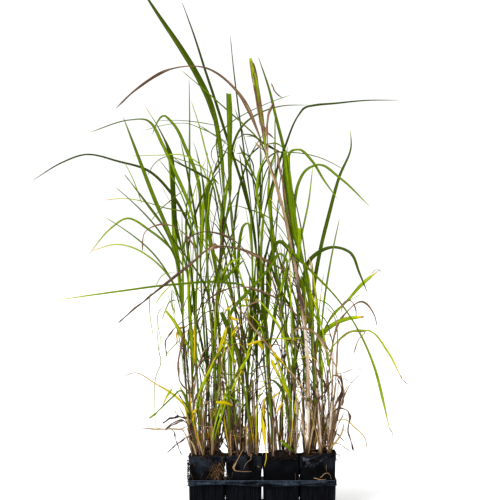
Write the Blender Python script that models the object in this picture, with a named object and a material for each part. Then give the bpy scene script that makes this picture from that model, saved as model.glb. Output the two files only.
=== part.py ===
"""Four young miscanthus plants in square plastic pots, standing in a carrying tray.

Run it with: blender --background --python part.py
Lengths are in metres and +Z is up. The origin is on the ground under the middle of the tray, +X runs along
the row of pots and -Y is the front. Stems and leaves are written in centimetres, as x and z in the plane of
the row, seen from the front, and a depth y.
"""

import math

import bmesh
import bpy
import numpy as np
from mathutils import Vector, kdtree

MM = 0.001
CM = 0.01
CREASE_ANGLE = 35

# The row of pots, in metres
POT_PITCH = 0.092
POT_CENTRES = [(index - 1.5) * POT_PITCH for index in range(4)]
FIT_GAP = 0.0004

# The carrying tray
TRAY_LENGTH = 0.368
TRAY_DEPTH = 0.097
TRAY_TOP = 0.0705
TRAY_LIP = 0.0135
TRAY_WALL = 0.0014
CELL_TOP = 0.0900
CELL_FOOT = 0.0865
CELL_ROUNDING = 0.009
RIB_COUNT = 5
RIB_HEIGHT = 0.0012
CELL_HOLE = 0.036
CELL_HOLE_ROUNDING = 0.010
WEB_TOP = 0.017
WEB_DEPTH = 0.050

# A pot
POT_TOP = 0.130
POT_WALL = 0.0012
POT_MOUTH = 0.0880
POT_FOOT = 0.0815
POT_ROUNDING = 0.008
COLLAR_HEIGHT = 0.016
COLLAR_STEP = 0.0011
DRAIN_RADIUS = 0.004
DRAIN_PLACE = 0.022

# The soil in a pot
SOIL_TOP = 0.127

# Where the front view was taken from: stems and leaves keep their outline from there at any depth
EYE = Vector((-0.031, -5.0, 0.641))

# Stems and leaves
STEM_SIDES = 5
STEM_TOLERANCE = 1.8 * MM
STEM_THINNING = 0.25
BLADE_TOLERANCE = 2.4 * MM
BLADE_THICKNESS = 1.1 * MM
BLADE_THINNING = 0.6
BLADE_FOLD = 0.10
BLADE_ROLL = 10
BLADE_LEAN_ROLL = 26
FOOT_SHARE = 0.45
FOOT_SPREAD = 2.2
TAPER_START = 3.0
TAPER_ROUNDNESS = 0.8
FINE_TIP = 0.9
DEPTH_BEND = 1.35
ROUTE_STEP = 0.01

# Keeping one shoot clear of the next
CLEARANCE = 3.0 * MM
ROUNDS = 160
EASE_LENGTH = 0.03
STEM_EASE_LENGTH = 0.25
STEM_FREEDOM = 0.5
EASE_REACH = 4
EASE_SPREAD = 1.8
EASE_GAIN = 1.3


def clear_scene():
    for thing in list(bpy.data.objects):
        bpy.data.objects.remove(thing)


def new_collection(name, hidden=False):
    collection = bpy.data.collections.new(name)
    collection.hide_render = hidden
    bpy.context.scene.collection.children.link(collection)
    return collection


def new_material(name, colour, roughness):
    material = bpy.data.materials.new(name)
    material.use_nodes = True
    shader = material.node_tree.nodes["Principled BSDF"]
    shader.inputs["Base Color"].default_value = (*colour, 1.0)
    shader.inputs["Roughness"].default_value = roughness
    shader.inputs["Metallic"].default_value = 0.0
    material.diffuse_color = (*colour, 1.0)
    return material


def new_object(name, bm, collection, material):
    bm.normal_update()
    bmesh.ops.recalc_face_normals(bm, faces=bm.faces[:])
    mesh = bpy.data.meshes.new(name)
    bm.to_mesh(mesh)
    bm.free()
    thing = bpy.data.objects.new(name, mesh)
    collection.objects.link(thing)
    mesh.materials.append(material)
    mesh.shade_smooth()
    mesh.set_sharp_from_angle(angle=math.radians(CREASE_ANGLE))
    return thing


def lofted(rings):
    """A closed bmesh through rings of equally many corners: a prism extruded from ring to ring."""
    sides = len(rings[0])
    bm = bmesh.new()
    bmesh.ops.create_cone(bm, cap_ends=True, segments=sides, radius1=1, radius2=1, depth=2)
    bm.verts.ensure_lookup_table()
    low = [v for v in bm.verts if v.co.z < 0]
    high = [v for v in bm.verts if v.co.z > 0]
    for ring, verts in ((rings[0], low), (rings[1], high)):
        for vert, corner in zip(verts, ring):
            vert.co = corner
    end = next(face for face in bm.faces if all(vert in high for vert in face.verts))
    order = [high.index(vert) for vert in end.verts]
    for ring in rings[2:]:
        end = bmesh.ops.extrude_discrete_faces(bm, faces=[end])["faces"][0]
        for vert, index in zip(end.verts, order):
            vert.co = ring[index]
    return bm


def square_ring(half, rounding, centre_x, z, steps=3):
    """The corners of a square with rounded corners, counted round from +X."""
    ring = []
    for quarter in range(4):
        middle = math.radians(45 + 90 * quarter)
        reach = half - rounding
        corner = Vector((math.copysign(reach, math.cos(middle)), math.copysign(reach, math.sin(middle))))
        for step in range(steps):
            angle = middle + math.radians(-45 + 90 * step / (steps - 1))
            ring.append(Vector((
                centre_x + corner.x + rounding * math.cos(angle),
                corner.y + rounding * math.sin(angle),
                z,
            )))
    return ring


def frustum(name, sizes, rounding, centre_x, collection, material):
    """A square block with rounded corners through (height, width) pairs."""
    rings = [square_ring(width / 2, rounding, centre_x, z) for z, width in sizes]
    return new_object(name, lofted(rings), collection, material)


def boolean(thing, other, operation):
    modifier = thing.modifiers.new(f"{operation.lower()}_{other.name}", "BOOLEAN")
    modifier.operation = operation
    modifier.object = other


def box(name, size, centre, collection, material):
    bm = bmesh.new()
    bmesh.ops.create_cube(bm, size=1)
    bmesh.ops.scale(bm, vec=size, verts=bm.verts[:])
    bmesh.ops.translate(bm, vec=centre, verts=bm.verts[:])
    return new_object(name, bm, collection, material)


def hide(thing):
    thing.hide_render = True
    thing.display_type = "WIRE"


# ---------------------------------------------------------------------------------------------- the tray


def ribbed_ring(half, centre_x, z):
    """A cell's outline: straight sides with upright ribs, and cut corners."""
    ring = []
    run = 2 * (half - CELL_ROUNDING)
    pitch = run / RIB_COUNT
    for quarter in range(4):
        along = Vector((-math.sin(quarter * math.pi / 2), math.cos(quarter * math.pi / 2)))
        out = Vector((math.cos(quarter * math.pi / 2), math.sin(quarter * math.pi / 2)))
        for rib in range(RIB_COUNT):
            middle = -run / 2 + pitch * (rib + 0.5)
            for offset, rise in ((-0.25, RIB_HEIGHT), (0.25, 0)):
                spot = out * (half - RIB_HEIGHT + rise) + along * (middle + offset * pitch)
                ring.append(Vector((centre_x + spot.x, spot.y, z)))
    return ring


def make_tray(collection, cutters, material):
    """One moulding: a plate with a turned-down lip, four ribbed cups and low blocks between their feet."""
    tray = box(
        "carry_tray",
        (TRAY_LENGTH, TRAY_DEPTH, TRAY_LIP),
        (0, 0, TRAY_TOP - TRAY_LIP / 2),
        collection,
        material,
    )
    under = box(
        "under_lip",
        (TRAY_LENGTH - 2 * TRAY_WALL, TRAY_DEPTH - 2 * TRAY_WALL, TRAY_LIP),
        (0, 0, TRAY_TOP - TRAY_LIP / 2 - TRAY_WALL),
        cutters,
        material,
    )
    hide(under)
    boolean(tray, under, "DIFFERENCE")
    length = POT_CENTRES[-1] - POT_CENTRES[0]
    web = box("web", (length, WEB_DEPTH, WEB_TOP), (0, 0, WEB_TOP / 2), cutters, material)
    hide(web)
    boolean(tray, web, "UNION")
    for index, centre in enumerate(POT_CENTRES, start=1):
        rings = [
            ribbed_ring(CELL_FOOT / 2, centre, 0),
            ribbed_ring(CELL_TOP / 2, centre, TRAY_TOP - TRAY_WALL / 2),
        ]
        cup = new_object(f"cup_{index}", lofted(rings), cutters, material)
        pocket = frustum(
            f"pocket_{index}",
            (
                (TRAY_WALL, pot_width(TRAY_WALL) + 2 * FIT_GAP),
                (TRAY_TOP + 2 * TRAY_WALL, pot_width(TRAY_TOP + 2 * TRAY_WALL) + 2 * FIT_GAP),
            ),
            POT_ROUNDING,
            centre,
            cutters,
            material,
        )
        hole = frustum(
            f"cell_hole_{index}",
            ((-TRAY_WALL, CELL_HOLE), (2 * TRAY_WALL, CELL_HOLE)),
            CELL_HOLE_ROUNDING,
            centre,
            cutters,
            material,
        )
        for helper in (cup, pocket, hole):
            hide(helper)
        boolean(tray, cup, "UNION")
        boolean(tray, pocket, "DIFFERENCE")
        boolean(tray, hole, "DIFFERENCE")
    return tray


# ---------------------------------------------------------------------------------------------- the pots


def pot_width(z):
    """A pot's outer width at a height, below its collar."""
    foot = TRAY_WALL + FIT_GAP
    return POT_FOOT + (POT_MOUTH - POT_FOOT) * (z - foot) / (POT_TOP - foot)


def make_pot(index, centre, collection, cutters, material):
    """A tapered square pot with a thicker collar at its mouth and drain holes in its floor."""
    foot = TRAY_WALL + FIT_GAP
    collar = POT_TOP - COLLAR_HEIGHT
    pot = frustum(
        f"pot_{index}",
        (
            (foot, POT_FOOT),
            (collar, pot_width(collar)),
            (collar + COLLAR_STEP, pot_width(collar) + 2 * COLLAR_STEP),
            (POT_TOP, POT_MOUTH + 2 * COLLAR_STEP),
        ),
        POT_ROUNDING,
        centre,
        collection,
        material,
    )
    hollow = frustum(
        f"pot_hollow_{index}",
        (
            (foot + POT_WALL, pot_width(foot) - 2 * POT_WALL),
            (POT_TOP + POT_WALL, POT_MOUTH - 2 * POT_WALL),
        ),
        POT_ROUNDING - POT_WALL,
        centre,
        cutters,
        material,
    )
    hide(hollow)
    boolean(pot, hollow, "DIFFERENCE")
    for number, (side_x, side_y) in enumerate(((-1, -1), (1, -1), (1, 1), (-1, 1)), start=1):
        bm = bmesh.new()
        bmesh.ops.create_cone(
            bm, cap_ends=True, segments=6, radius1=DRAIN_RADIUS, radius2=DRAIN_RADIUS, depth=6 * POT_WALL
        )
        place = (centre + side_x * DRAIN_PLACE, side_y * DRAIN_PLACE, foot)
        bmesh.ops.translate(bm, vec=place, verts=bm.verts[:])
        drain = new_object(f"drain_{index}_{number}", bm, cutters, material)
        hide(drain)
        boolean(pot, drain, "DIFFERENCE")
    return pot


def make_soil(index, centre, collection, material):
    """The compost plug that fills a pot nearly to its rim."""
    floor = TRAY_WALL + FIT_GAP + POT_WALL + FIT_GAP
    inset = 2 * (POT_WALL + FIT_GAP)
    return frustum(
        f"compost_{index}",
        ((floor, pot_width(floor) - inset - 0.001), (SOIL_TOP, pot_width(SOIL_TOP) - inset - 0.001)),
        POT_ROUNDING - POT_WALL,
        centre,
        collection,
        material,
    )


# ------------------------------------------------------------------------------------ stems and leaves


def blade(start, route, depth, width, tip=FINE_TIP, form=(1,)):
    """A leaf that leaves its stem at height start and goes through (x, z) points, in centimetres.

    depth is how far its tip lies behind the stem, in centimetres. width is its greatest width and tip
    the width of its end, in millimetres: a broken or folded leaf ends broad. form makes it wider or
    narrower than usual at places spread evenly along it.
    """
    return {
        "start": start, "route": route, "depth": depth, "width": width, "tip": tip, "form": form,
    }


def shoot(name, depth, girth, stem, blades, kind="green"):
    """A stem through the (x, z) points of stem, at a depth, all in centimetres, girth millimetres across."""
    return {"name": name, "depth": depth, "girth": girth, "stem": stem, "blades": blades, "kind": kind}


GRASS = (
    shoot("shoot_1a", -1, 5.0, (
        (-17.5, 12.8), (-18.8, 27), (-19.6, 40), (-20, 50), (-20.6, 58), (-21.3, 62),
    ), (
        blade(60, ((-23, 67.1), (-27, 76.9), (-31, 87.4), (-34.8, 97.4)), -4, 12),
        blade(50, ((-22.3, 55.9), (-27.3, 61.6), (-33, 64.9), (-36, 65.5), (-42.5, 64)), 6, 6),
        blade(47, ((-22.8, 56.6), (-27, 62.9), (-35, 69.6), (-39.5, 72.4)), -7, 5),
        blade(55, ((-21.8, 62.1), (-26, 69.1), (-33, 76.6), (-36.8, 79.9)), -11, 5),
    )),
    shoot("shoot_1b", 1.5, 6.0, (
        (-16.8, 12.8), (-17.3, 27), (-17.8, 40), (-18.1, 52), (-18.9, 59), (-20.4, 65),
    ), (
        blade(64, ((-21.8, 71.1), (-22.3, 78), (-23.2, 88.5), (-25.6, 94), (-29.3, 100.1)), 5, 14,
              form=(1, 1, 1, 1, 1, 1.25, 0.5, 0.4, 0.6)),
        blade(62, ((-22.5, 67.1), (-28, 74.4), (-34.3, 82.9)), -6, 6),
        blade(58, ((-22.5, 64.1), (-28, 68.9), (-34, 72), (-38, 69.4), (-43.3, 63.1)), 9, 7),
        blade(39, ((-19.8, 42), (-22, 46), (-24.3, 49.1)), -5, 9),
        blade(32, ((-17.3, 35.4), (-17.7, 41.6), (-18.2, 49.1), (-18.5, 55.4), (-18.3, 59.6)), -3, 11),
    )),
    shoot("shoot_1c", -2.6, 6.0, (
        (-15.6, 12.8), (-16, 27), (-16.6, 40), (-16.5, 52), (-16.2, 62), (-16.3, 70),
    ), (
        blade(69, (
            (-18.5, 75.9), (-21.8, 83.6), (-25, 90.6), (-29, 96.6), (-33, 96.6), (-43, 93.6),
        ), -8, 10, form=(1, 1, 1, 1, 1, 1, 0.6, 0.7, 1)),
        blade(64, (
            (-18.5, 70.6), (-23, 78.6), (-28, 83.6), (-36, 86.2), (-44.5, 87.9), (-50, 86),
            (-57.3, 81.6),
        ), 7, 8),
        blade(61, ((-17.3, 65.6), (-19.8, 68.4), (-25, 70.6), (-29.3, 68.6), (-30, 63.9)), -6, 4),
        blade(44, ((-18.5, 44.1), (-20.3, 40), (-20.9, 35), (-20.5, 31), (-18.3, 28.8)), -6, 6),
        blade(40, (
            (-16.7, 46.6), (-17.3, 54.1), (-18.3, 61.1), (-19, 67.9), (-19, 73.6), (-18.6, 79.1),
        ), 4, 9),
    )),
    shoot("shoot_1d", 0.3, 6.0, (
        (-14.4, 12.8), (-14, 25.4), (-12.8, 36.6), (-11, 55.4), (-10.3, 66.6), (-9.5, 78),
    ), (
        blade(77, (
            (-10.3, 87.9), (-13.3, 102.1), (-16.5, 108.6), (-20.5, 115.1), (-25.5, 122.4),
            (-30.3, 129.6),
        ), -6, 13),
        blade(72, ((-11.6, 80), (-13.8, 87.4), (-16, 96), (-17.8, 101.4)), 8, 5),
        blade(75, ((-11, 87), (-11.3, 92.4), (-8, 95.9), (-3, 98.9), (2, 101.1), (7, 102.9)), 12, 4),
    )),
    shoot("shoot_1e", 3, 5.5, (
        (-13.4, 12.8), (-13.4, 27), (-14.2, 38), (-15, 50), (-15.5, 62), (-15.4, 72),
    ), (
        blade(71, (
            (-16, 80.9), (-19, 89.1), (-22.5, 95.9), (-24.8, 97.8), (-26.4, 95.8), (-27.5, 93),
        ), 6, 11),
        blade(66, ((-17.8, 74), (-18.2, 86), (-18.2, 97), (-18.3, 107)), 11, 6),
        blade(69, ((-19.3, 73.4), (-24.3, 74.6), (-29.3, 76.1), (-34.3, 77), (-39.3, 76.6)), -9, 4),
        blade(61, (
            (-15.2, 65.4), (-15.2, 70.4), (-14.8, 75.4), (-14.1, 79.1), (-13.3, 82.1), (-12.6, 85.1),
        ), -5, 12),
    )),
    shoot("shoot_1f", -1.9, 7.0, (
        (-11.6, 12.8), (-11.6, 27), (-12.4, 41), (-13.4, 54), (-13.9, 64), (-14.1, 74),
    ), (
        blade(73, ((-14, 77), (-13.4, 80), (-12.2, 82), (-10.8, 80.5)), -10, 10),
        blade(71, ((-13.6, 80.5), (-15.5, 85.4), (-19, 87.6), (-26, 87.8), (-33, 87.6)), 3, 4),
    )),
    shoot("shoot_1g", -3.5, 4.0, ((-16.6, 12.8), (-17, 19), (-17.6, 22)), (
        blade(20, ((-18.5, 23.9), (-20.8, 26.6), (-26.5, 30.5), (-32.3, 33.4), (-34.5, 32.6)), -5, 5),
        blade(19, ((-18.6, 25), (-20.4, 29), (-22.5, 27.2), (-27.8, 22.1)), -9, 7),
    )),
    shoot("shoot_1h", -3.4, 4.0, ((-14.6, 12.8), (-15.6, 20), (-16, 26)), (
        blade(25, ((-15.2, 29), (-12.8, 34.5), (-10.3, 39), (-8.4, 41.9)), 3, 8),
        blade(24, ((-14.9, 30.5), (-11.8, 36.5), (-10, 41), (-8.8, 45.5)), 5, 6),
    )),
    shoot("shoot_1i", 3.3, 5.0, ((-15.9, 12.8), (-15.4, 22), (-15.1, 31)), (), "dead"),
    shoot("shoot_1j", -3.4, 4.5, ((-12.7, 12.8), (-11.9, 21), (-11.1, 29), (-10.4, 36)), (
        blade(16, ((-10.5, 22.1), (-8.5, 27.4), (-6.5, 31.4), (-3.3, 38.1)), -1.5, 7),
        blade(35, (
            (-9.6, 40.4), (-10.8, 38.9), (-13.1, 34.4), (-14.8, 30.9), (-16.1, 27.1), (-16.8, 22.1),
        ), -6, 5),
    )),
    shoot("shoot_1k", 3.4, 5.5, ((-17.4, 12.8), (-18.4, 30), (-19.7, 45), (-20.5, 53)), (
        blade(52, ((-21, 59), (-21.9, 66.6), (-22.3, 76), (-23, 84.1), (-23.8, 91.1)), 3, 14),
        blade(50, ((-22.8, 65.9), (-25.3, 71), (-29, 76.1), (-34.6, 83.1)), 8, 5),
    )),
    shoot("shoot_1l", 1.7, 5.0, ((-12.6, 12.8), (-12, 27), (-11.6, 42), (-11.1, 55)), (
        blade(54, ((-9.5, 59), (-7.5, 61.4), (-4.5, 62.1)), -6, 7),
        blade(53, ((-10.6, 60), (-9.4, 70), (-7.6, 80)), 9, 8),
        blade(54.5, (
            (-11.6, 58.6), (-12.3, 62.9), (-13.3, 67.9), (-13.7, 72.1), (-13.3, 76.1), (-12.5, 79.9),
            (-11.8, 82.6),
        ), 2, 12),
    )),
    shoot("shoot_1m", 0.4, 5.0, ((-16.4, 12.8), (-17.3, 20), (-18.1, 25)), (
        blade(24, ((-19.4, 27.4), (-20.6, 29.9)), 4, 10, tip=3),
        blade(19, ((-20.3, 21.6), (-24.3, 19.4)), 7, 5),
    )),
    shoot("shoot_1n", -0.2, 5.5, ((-13.1, 12.8), (-12.9, 21), (-12.2, 29)), (), "dead"),
    shoot("shoot_1o", 3.4, 5.0, ((-11.6, 12.8), (-10.9, 22), (-10.3, 33)), (), "dead"),
    shoot("shoot_2a", -3.3, 6.0, ((-3.2, 12.8), (-3.6, 24), (-4.8, 31), (-6, 37.5), (-7.6, 42)), (
        blade(30, ((-6, 37.5), (-7.6, 42), (-8.8, 45.2), (-10.3, 48.6)), -1, 15, tip=11),
    )),
    shoot("shoot_2b", 1.4, 6.0, (
        (-2.4, 12.8), (-3.5, 26.6), (-4.8, 39.1), (-5.6, 51.6), (-6.6, 61.1), (-7.5, 69.1), (-8.2, 78),
    ), (
        blade(77, ((-8.2, 86), (-8.2, 95), (-8.5, 103.2)), -13, 12.5, 10,
              form=(1, 0.9, 0.9, 0.95, 1.1, 1.3, 1.5, 1.4)),
        blade(76, ((-8, 84), (-7.5, 89.6), (-4.8, 95.4), (0.8, 99.1), (5, 100.2), (11.3, 100.4)), 9, 7),
        blade(57, ((-5.8, 64.6), (-5.3, 68.4), (-4.5, 70.6), (-3.6, 71), (-3, 69.5), (-2.9, 66)), -7, 9),
    )),
    shoot("shoot_2c", -1.2, 5.5, (
        (-4.4, 12.8), (-4, 26.6), (-2.9, 44.1), (-2.5, 54.1), (-2.5, 64.1), (-3, 73.6),
    ), (
        blade(72, (
            (-5, 80.1), (-9.5, 94.1), (-12, 102.1), (-14.3, 109.1), (-17, 117.6), (-20, 125.9),
        ), -5, 8.5),
        blade(61, ((-5, 64.6), (-10, 68), (-16, 68.3), (-19.5, 65.9), (-20, 63.6)), -7, 5),
        blade(52, ((-4.8, 55.1), (-9.3, 55.9), (-21.8, 55.4), (-36.8, 53.6), (-51.3, 51.6)), -13, 9),
    )),
    shoot("shoot_2d", 3.2, 5.0, (
        (-1.2, 12.8), (-1.3, 26), (-1.3, 40), (-1.1, 52), (-1.3, 61), (-2, 69), (-2.8, 74),
    ), (
        blade(73, ((-3.3, 79.1), (-4.8, 90.4), (-6.5, 103.6), (-7.3, 110.4), (-8, 117.6)), 6, 5),
        blade(71, ((-1, 80), (0.5, 86), (3, 88.4), (7, 88.6), (14, 87.4), (20.8, 84.1)), 10, 5),
        blade(60, ((-1.7, 65.4), (-2.6, 71.1), (-3.8, 76.6), (-5.2, 81.6), (-6.3, 85.4)), -4, 8),
    )),
    shoot("shoot_2e", -1.6, 9.0, ((-8, 12.8), (-9.1, 24), (-9.9, 31.6)), (), "dead"),
    shoot("shoot_2f", 1.2, 8.0, ((-6.6, 12.8), (-7.2, 22), (-7.1, 30.5)), (), "dead"),
    shoot("shoot_2g", 3.3, 5.0, (
        (-5.2, 12.8), (-4.9, 27), (-5.5, 40), (-7.4, 52), (-9.2, 62), (-10.6, 70),
    ), (
        blade(69, ((-11.5, 76), (-12.8, 81), (-16, 83.5), (-20, 85.5), (-23, 88)), 13, 5),
        blade(60, ((-10.4, 68), (-10, 76), (-8.6, 82)), 12, 7),
    )),
    shoot("shoot_2h", -3, 5.0, ((-7.9, 12.8), (-8.6, 25), (-9.4, 36), (-9.8, 43)), (
        blade(42, (
            (-7.5, 49.1), (-2.8, 54.6), (2.3, 60.4), (4.4, 63.4), (6, 62), (6, 58.5), (4.5, 53.4),
        ), -9, 10),
    )),
    shoot("shoot_2i", -2, 9.0, ((-1.6, 12.8), (-2, 22), (-2.5, 32)), (), "dead"),
    shoot("shoot_2j", -0.2, 5.5, ((-3.1, 12.8), (-3.3, 24), (-3.6, 34), (-3.2, 41)), (
        blade(38, (
            (-4, 39.9), (-4.9, 36.4), (-6.4, 33.1), (-8.1, 29.6), (-10.1, 25.6), (-12.8, 16.6),
        ), -8, 7),
        blade(39, ((-1.1, 41.3), (2.4, 41.9), (9.9, 42.1)), -7, 5),
    )),
    shoot("shoot_2k", -3.5, 5.0, ((-6.1, 12.8), (-6.8, 25), (-7.2, 36)), (
        blade(35, ((-7.6, 42), (-7.8, 47)), -2, 7),
        blade(26, ((-7.7, 30.4), (-8, 36.1), (-8.2, 41.1), (-8.4, 46.6), (-8.8, 51.6)), 3, 9),
    )),
    shoot("shoot_2l", 3.4, 7.5, ((-7.4, 12.8), (-7.9, 22), (-8.4, 29)), (), "dead"),
    shoot("shoot_2m", -0.4, 6.0, ((-5.4, 12.8), (-5.6, 23), (-5.8, 33)), (), "dead"),
    shoot("shoot_3a", -0.8, 8.0, (
        (3.6, 12.8), (2.5, 22.9), (1.8, 31.6), (1, 41.6), (0.3, 51.6), (-0.3, 64.1), (0.3, 73),
    ), (
        blade(72, (
            (2, 79.1), (5.5, 89.4), (9.3, 98.2), (10.6, 99.8), (12.5, 100.3), (18.3, 100.9),
            (26, 101.6), (34, 101.6),
        ), -5, 9.5, form=(0.7, 0.7, 0.7, 0.65, 0.5, 1, 1, 1, 1)),
        blade(45, (
            (1.8, 54.1), (2.2, 62), (4.3, 66.6), (7.5, 63.6), (12.5, 58.6), (18.8, 51.9), (24, 44.1),
            (28, 35.1), (30.5, 25.4), (32, 18.4),
        ), -10, 11.5, form=(1, 1, 1, 0.72, 0.5, 0.45, 0.85, 1.6, 1)),
        blade(28, ((1.2, 27.5), (0.4, 24), (0.3, 20), (0.7, 15.5), (1, 12), (0.5, 9.9)), -6.5, 10,
              form=(0.8, 1.1, 1.2, 1.2, 1.2, 1.1, 0.7, 0.4, 0.3, 0.4)),
    )),
    shoot("shoot_3b", 2.6, 5.0, ((1.9, 12.8), (1.2, 27), (0.2, 40), (-0.2, 52), (-0.8, 64), (-1.6, 76)), (
        blade(75, ((-2, 81), (-4, 84.6), (-7.5, 87.4), (-12, 90.5)), -8, 5),
        blade(68, ((-0.3, 76), (0, 82), (-0.2, 89)), 12, 5),
    )),
    shoot("shoot_3c", 0.9, 7.5, (
        (8, 12.8), (8, 27), (8.2, 39), (7.5, 49), (6, 55.4), (4.5, 61), (2.8, 66), (1.4, 69.6),
    ), (
        blade(69, ((-0.3, 73), (-1.3, 78), (-0.8, 84), (1.5, 89)), -6, 8),
        blade(64, ((2.2, 72), (2.2, 78), (3.5, 83), (4, 88.5)), 10, 9),
        blade(62, ((3.2, 65.4), (2.3, 69.6), (1.8, 74.1), (1.5, 77.9), (1.7, 81.6), (2.2, 85.4)), -3, 9),
    )),
    shoot("shoot_3d", -2.9, 5.5, ((6.9, 12.8), (7, 24), (6.6, 36), (5.6, 46), (4.4, 53)), (
        blade(52, ((3.2, 60), (2.2, 68), (2.4, 76)), -3, 9),
        blade(26, ((5.5, 31.5), (3.5, 36.5), (1.7, 41)), -5, 7),
        blade(25, ((6, 30), (4.6, 32), (2.5, 32)), -8, 7),
        blade(37, ((5.4, 42.1), (3.9, 45.4), (2, 48.1), (0.2, 50.4), (-1.6, 52.1)), -5, 8),
    )),
    shoot("shoot_3e", 3.3, 4.0, ((5.2, 12.8), (5, 27), (4.9, 40), (4.8, 50), (4.4, 58)), (
        blade(57, ((6.2, 64), (7, 68.5), (4.5, 73), (1, 76)), 7, 5),
    )),
    shoot("shoot_3f", 1.9, 5.5, ((4.4, 12.8), (4.6, 22), (5.5, 30)), (), "dead"),
    shoot("shoot_3g", -0.9, 6.0, ((6.1, 12.8), (7.3, 30), (8.9, 46), (8.6, 58), (6.9, 69)), (
        blade(68, ((5.7, 76), (5.4, 84), (6.3, 90)), 8, 10),
        blade(57, ((9.5, 66), (11.7, 77), (12.6, 85)), 9, 6),
        blade(45, ((7.7, 48.6), (5.9, 51.6), (4.2, 54.6), (2.9, 57.9), (1.9, 61.1), (1.2, 64.1)), 3, 8),
        blade(52, (
            (8.7, 57.9), (7.9, 62.9), (7.2, 67.9), (6.5, 73.1), (5.9, 78.6), (5.4, 83.6), (5, 89.1),
        ), 4, 10),
    )),
    shoot("shoot_3h", -3.4, 6.0, ((2.7, 12.8), (2.2, 22), (1.4, 33), (0.6, 44)), (
        blade(43, ((0.3, 50), (0.2, 56), (0.5, 63)), -3, 9),
        blade(30, ((2.2, 31.8), (4.4, 29.9), (5.7, 26.6), (6.4, 21.6)), -6, 7),
    )),
    shoot("shoot_3i", 2.9, 6.5, ((7.4, 12.8), (7.2, 24), (7.6, 37)), (), "straw"),
    shoot("shoot_3j", -1.5, 5.0, (
        (8.3, 12.8), (8.7, 21.6), (8.4, 27.9), (7.2, 33.6), (6.2, 38.6), (5.2, 44.1), (4.4, 49.6),
        (3.4, 54.1), (2.2, 57.9), (0.7, 60.6), (-0.6, 62.4),
    ), (), "straw"),
    shoot("shoot_4a", -3.1, 9.0, (
        (11.2, 12.8), (11.5, 26.6), (11, 41.6), (9.8, 50.4), (8.5, 59.1), (7, 66.6), (5.5, 73.6),
        (3.8, 79.9), (0.9, 88.5),
    ), (
        blade(88, (
            (-1.3, 93.9), (-6, 103.6), (-14.3, 109.6), (-22.5, 109.4), (-31.8, 104.1), (-36.5, 99.6),
        ), -7, 8, form=(1, 1, 1, 1, 1, 1, 0.8, 0.45, 0.45, 1.6, 1.9, 1, 1)),
        blade(87, ((0.2, 94), (-0.8, 101), (-1.8, 106.5), (-3, 112.1)), -1, 11, 8,
              form=(0.9, 0.8, 0.8, 0.9, 1.1, 1.35, 1.3, 0.9)),
        blade(86, ((1.2, 93), (1.6, 98), (3, 101)), -5, 5),
        blade(56, (
            (5.5, 58.9), (-1, 62.4), (-6.8, 64.5), (-12, 64.9), (-18, 60.6), (-25.5, 54.6),
            (-35.8, 46.1),
        ), -9, 7),
        blade(45, ((6.5, 49.9), (0, 53.7), (-5.5, 54.9), (-11, 53.4), (-17.3, 48.1)), -10, 5),
    ), "straw"),
    shoot("shoot_4b", -1.4, 7.0, (
        (12.6, 12.8), (13, 27), (12.4, 41.6), (11.8, 51), (10.3, 61), (8.8, 68), (7.8, 73), (7, 80),
    ), (
        blade(79, ((6.2, 85), (5, 91), (3.5, 97), (1.8, 104), (-1, 112.4)), 4, 9),
        blade(78, ((6.6, 84), (7.2, 89), (9.3, 89.4), (12, 87), (15.5, 81.5), (18.8, 76.9)), -6, 9),
        blade(70, ((8.2, 76.6), (9, 80.9), (11, 84.3), (14, 85.6), (19.5, 82.1), (26.8, 75.1)), -9, 9),
        blade(62, ((9.2, 65.4), (8.4, 69.6), (7.8, 74.1), (7.3, 78.6), (6.9, 82.9), (6.4, 87.6)), -4, 11),
        blade(40, ((12.3, 45.4), (12.2, 50.4), (11.8, 55.4), (11.2, 59.6)), 0.5, 10),
    )),
    shoot("shoot_4c", -2.8, 5.5, ((16.4, 12.8), (17, 21), (17.3, 26), (17.6, 34), (17.7, 39)), (
        blade(24, ((19.2, 27), (19.9, 30), (19.6, 33.5)), -2, 6),
        blade(38, ((15.5, 40.8), (12.5, 43.8), (9, 44.6), (7.4, 43), (8, 40.5), (9.5, 38.4)), -4.6, 6,
              form=(1, 1, 1, 1, 1, 1, 1.2, 1.4, 1)),
        blade(23, ((19.5, 24.6), (21.6, 23.9), (21.5, 19.5), (22.8, 13.9)), -5, 5),
    ), "straw"),
    shoot("shoot_4d", 3, 6.0, ((15, 12.8), (14, 27), (13, 39), (12.6, 48)), (
        blade(47, (
            (12.8, 53.6), (14.3, 63.6), (16.8, 73.6), (19.3, 82.6), (22.2, 90.1), (22, 94.1),
        ), 5, 11.5),
        blade(37, ((14, 41.9), (18.5, 46.1), (21.5, 47.1), (25.3, 47.4)), -9, 11, tip=5),
        blade(38, ((16.5, 46.1), (21.3, 51.6), (26, 56.6), (29.5, 59.3)), 4, 8,
              form=(0.8, 0.7, 0.6, 0.6, 0.8, 1.2, 1.8, 2.2, 0.5)),
    )),
    shoot("shoot_4e", 0.5, 5.0, ((15.9, 12.8), (15.2, 25), (14.5, 37), (14.7, 44)), (
        blade(43, ((15.3, 50.1), (17, 61.1), (19.3, 72.1)), -6, 6),
        blade(34, ((17, 39.1), (21.3, 43.3), (27, 43.9), (31.3, 38.9), (35, 31.6)), -3, 6,
              form=(0.7, 0.7, 0.7, 0.7, 0.8, 1.2, 1.5, 1.6, 1)),
        blade(32, ((14.4, 36.1), (14.5, 40.4), (14.2, 44.6), (13.9, 48.6)), -3, 9),
    )),
    shoot("shoot_4f", 2.9, 4.0, ((17.2, 12.8), (16.6, 25), (16.4, 34)), (
        blade(33, ((17.5, 40.4), (20.5, 48.1), (25, 51.3), (28, 47.9), (28.8, 44.6)), 5, 6),
    ), "dead"),
    shoot("shoot_4g", 2.3, 6.0, ((10.6, 12.8), (10.3, 25), (10.4, 38), (10.2, 50)), (
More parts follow.
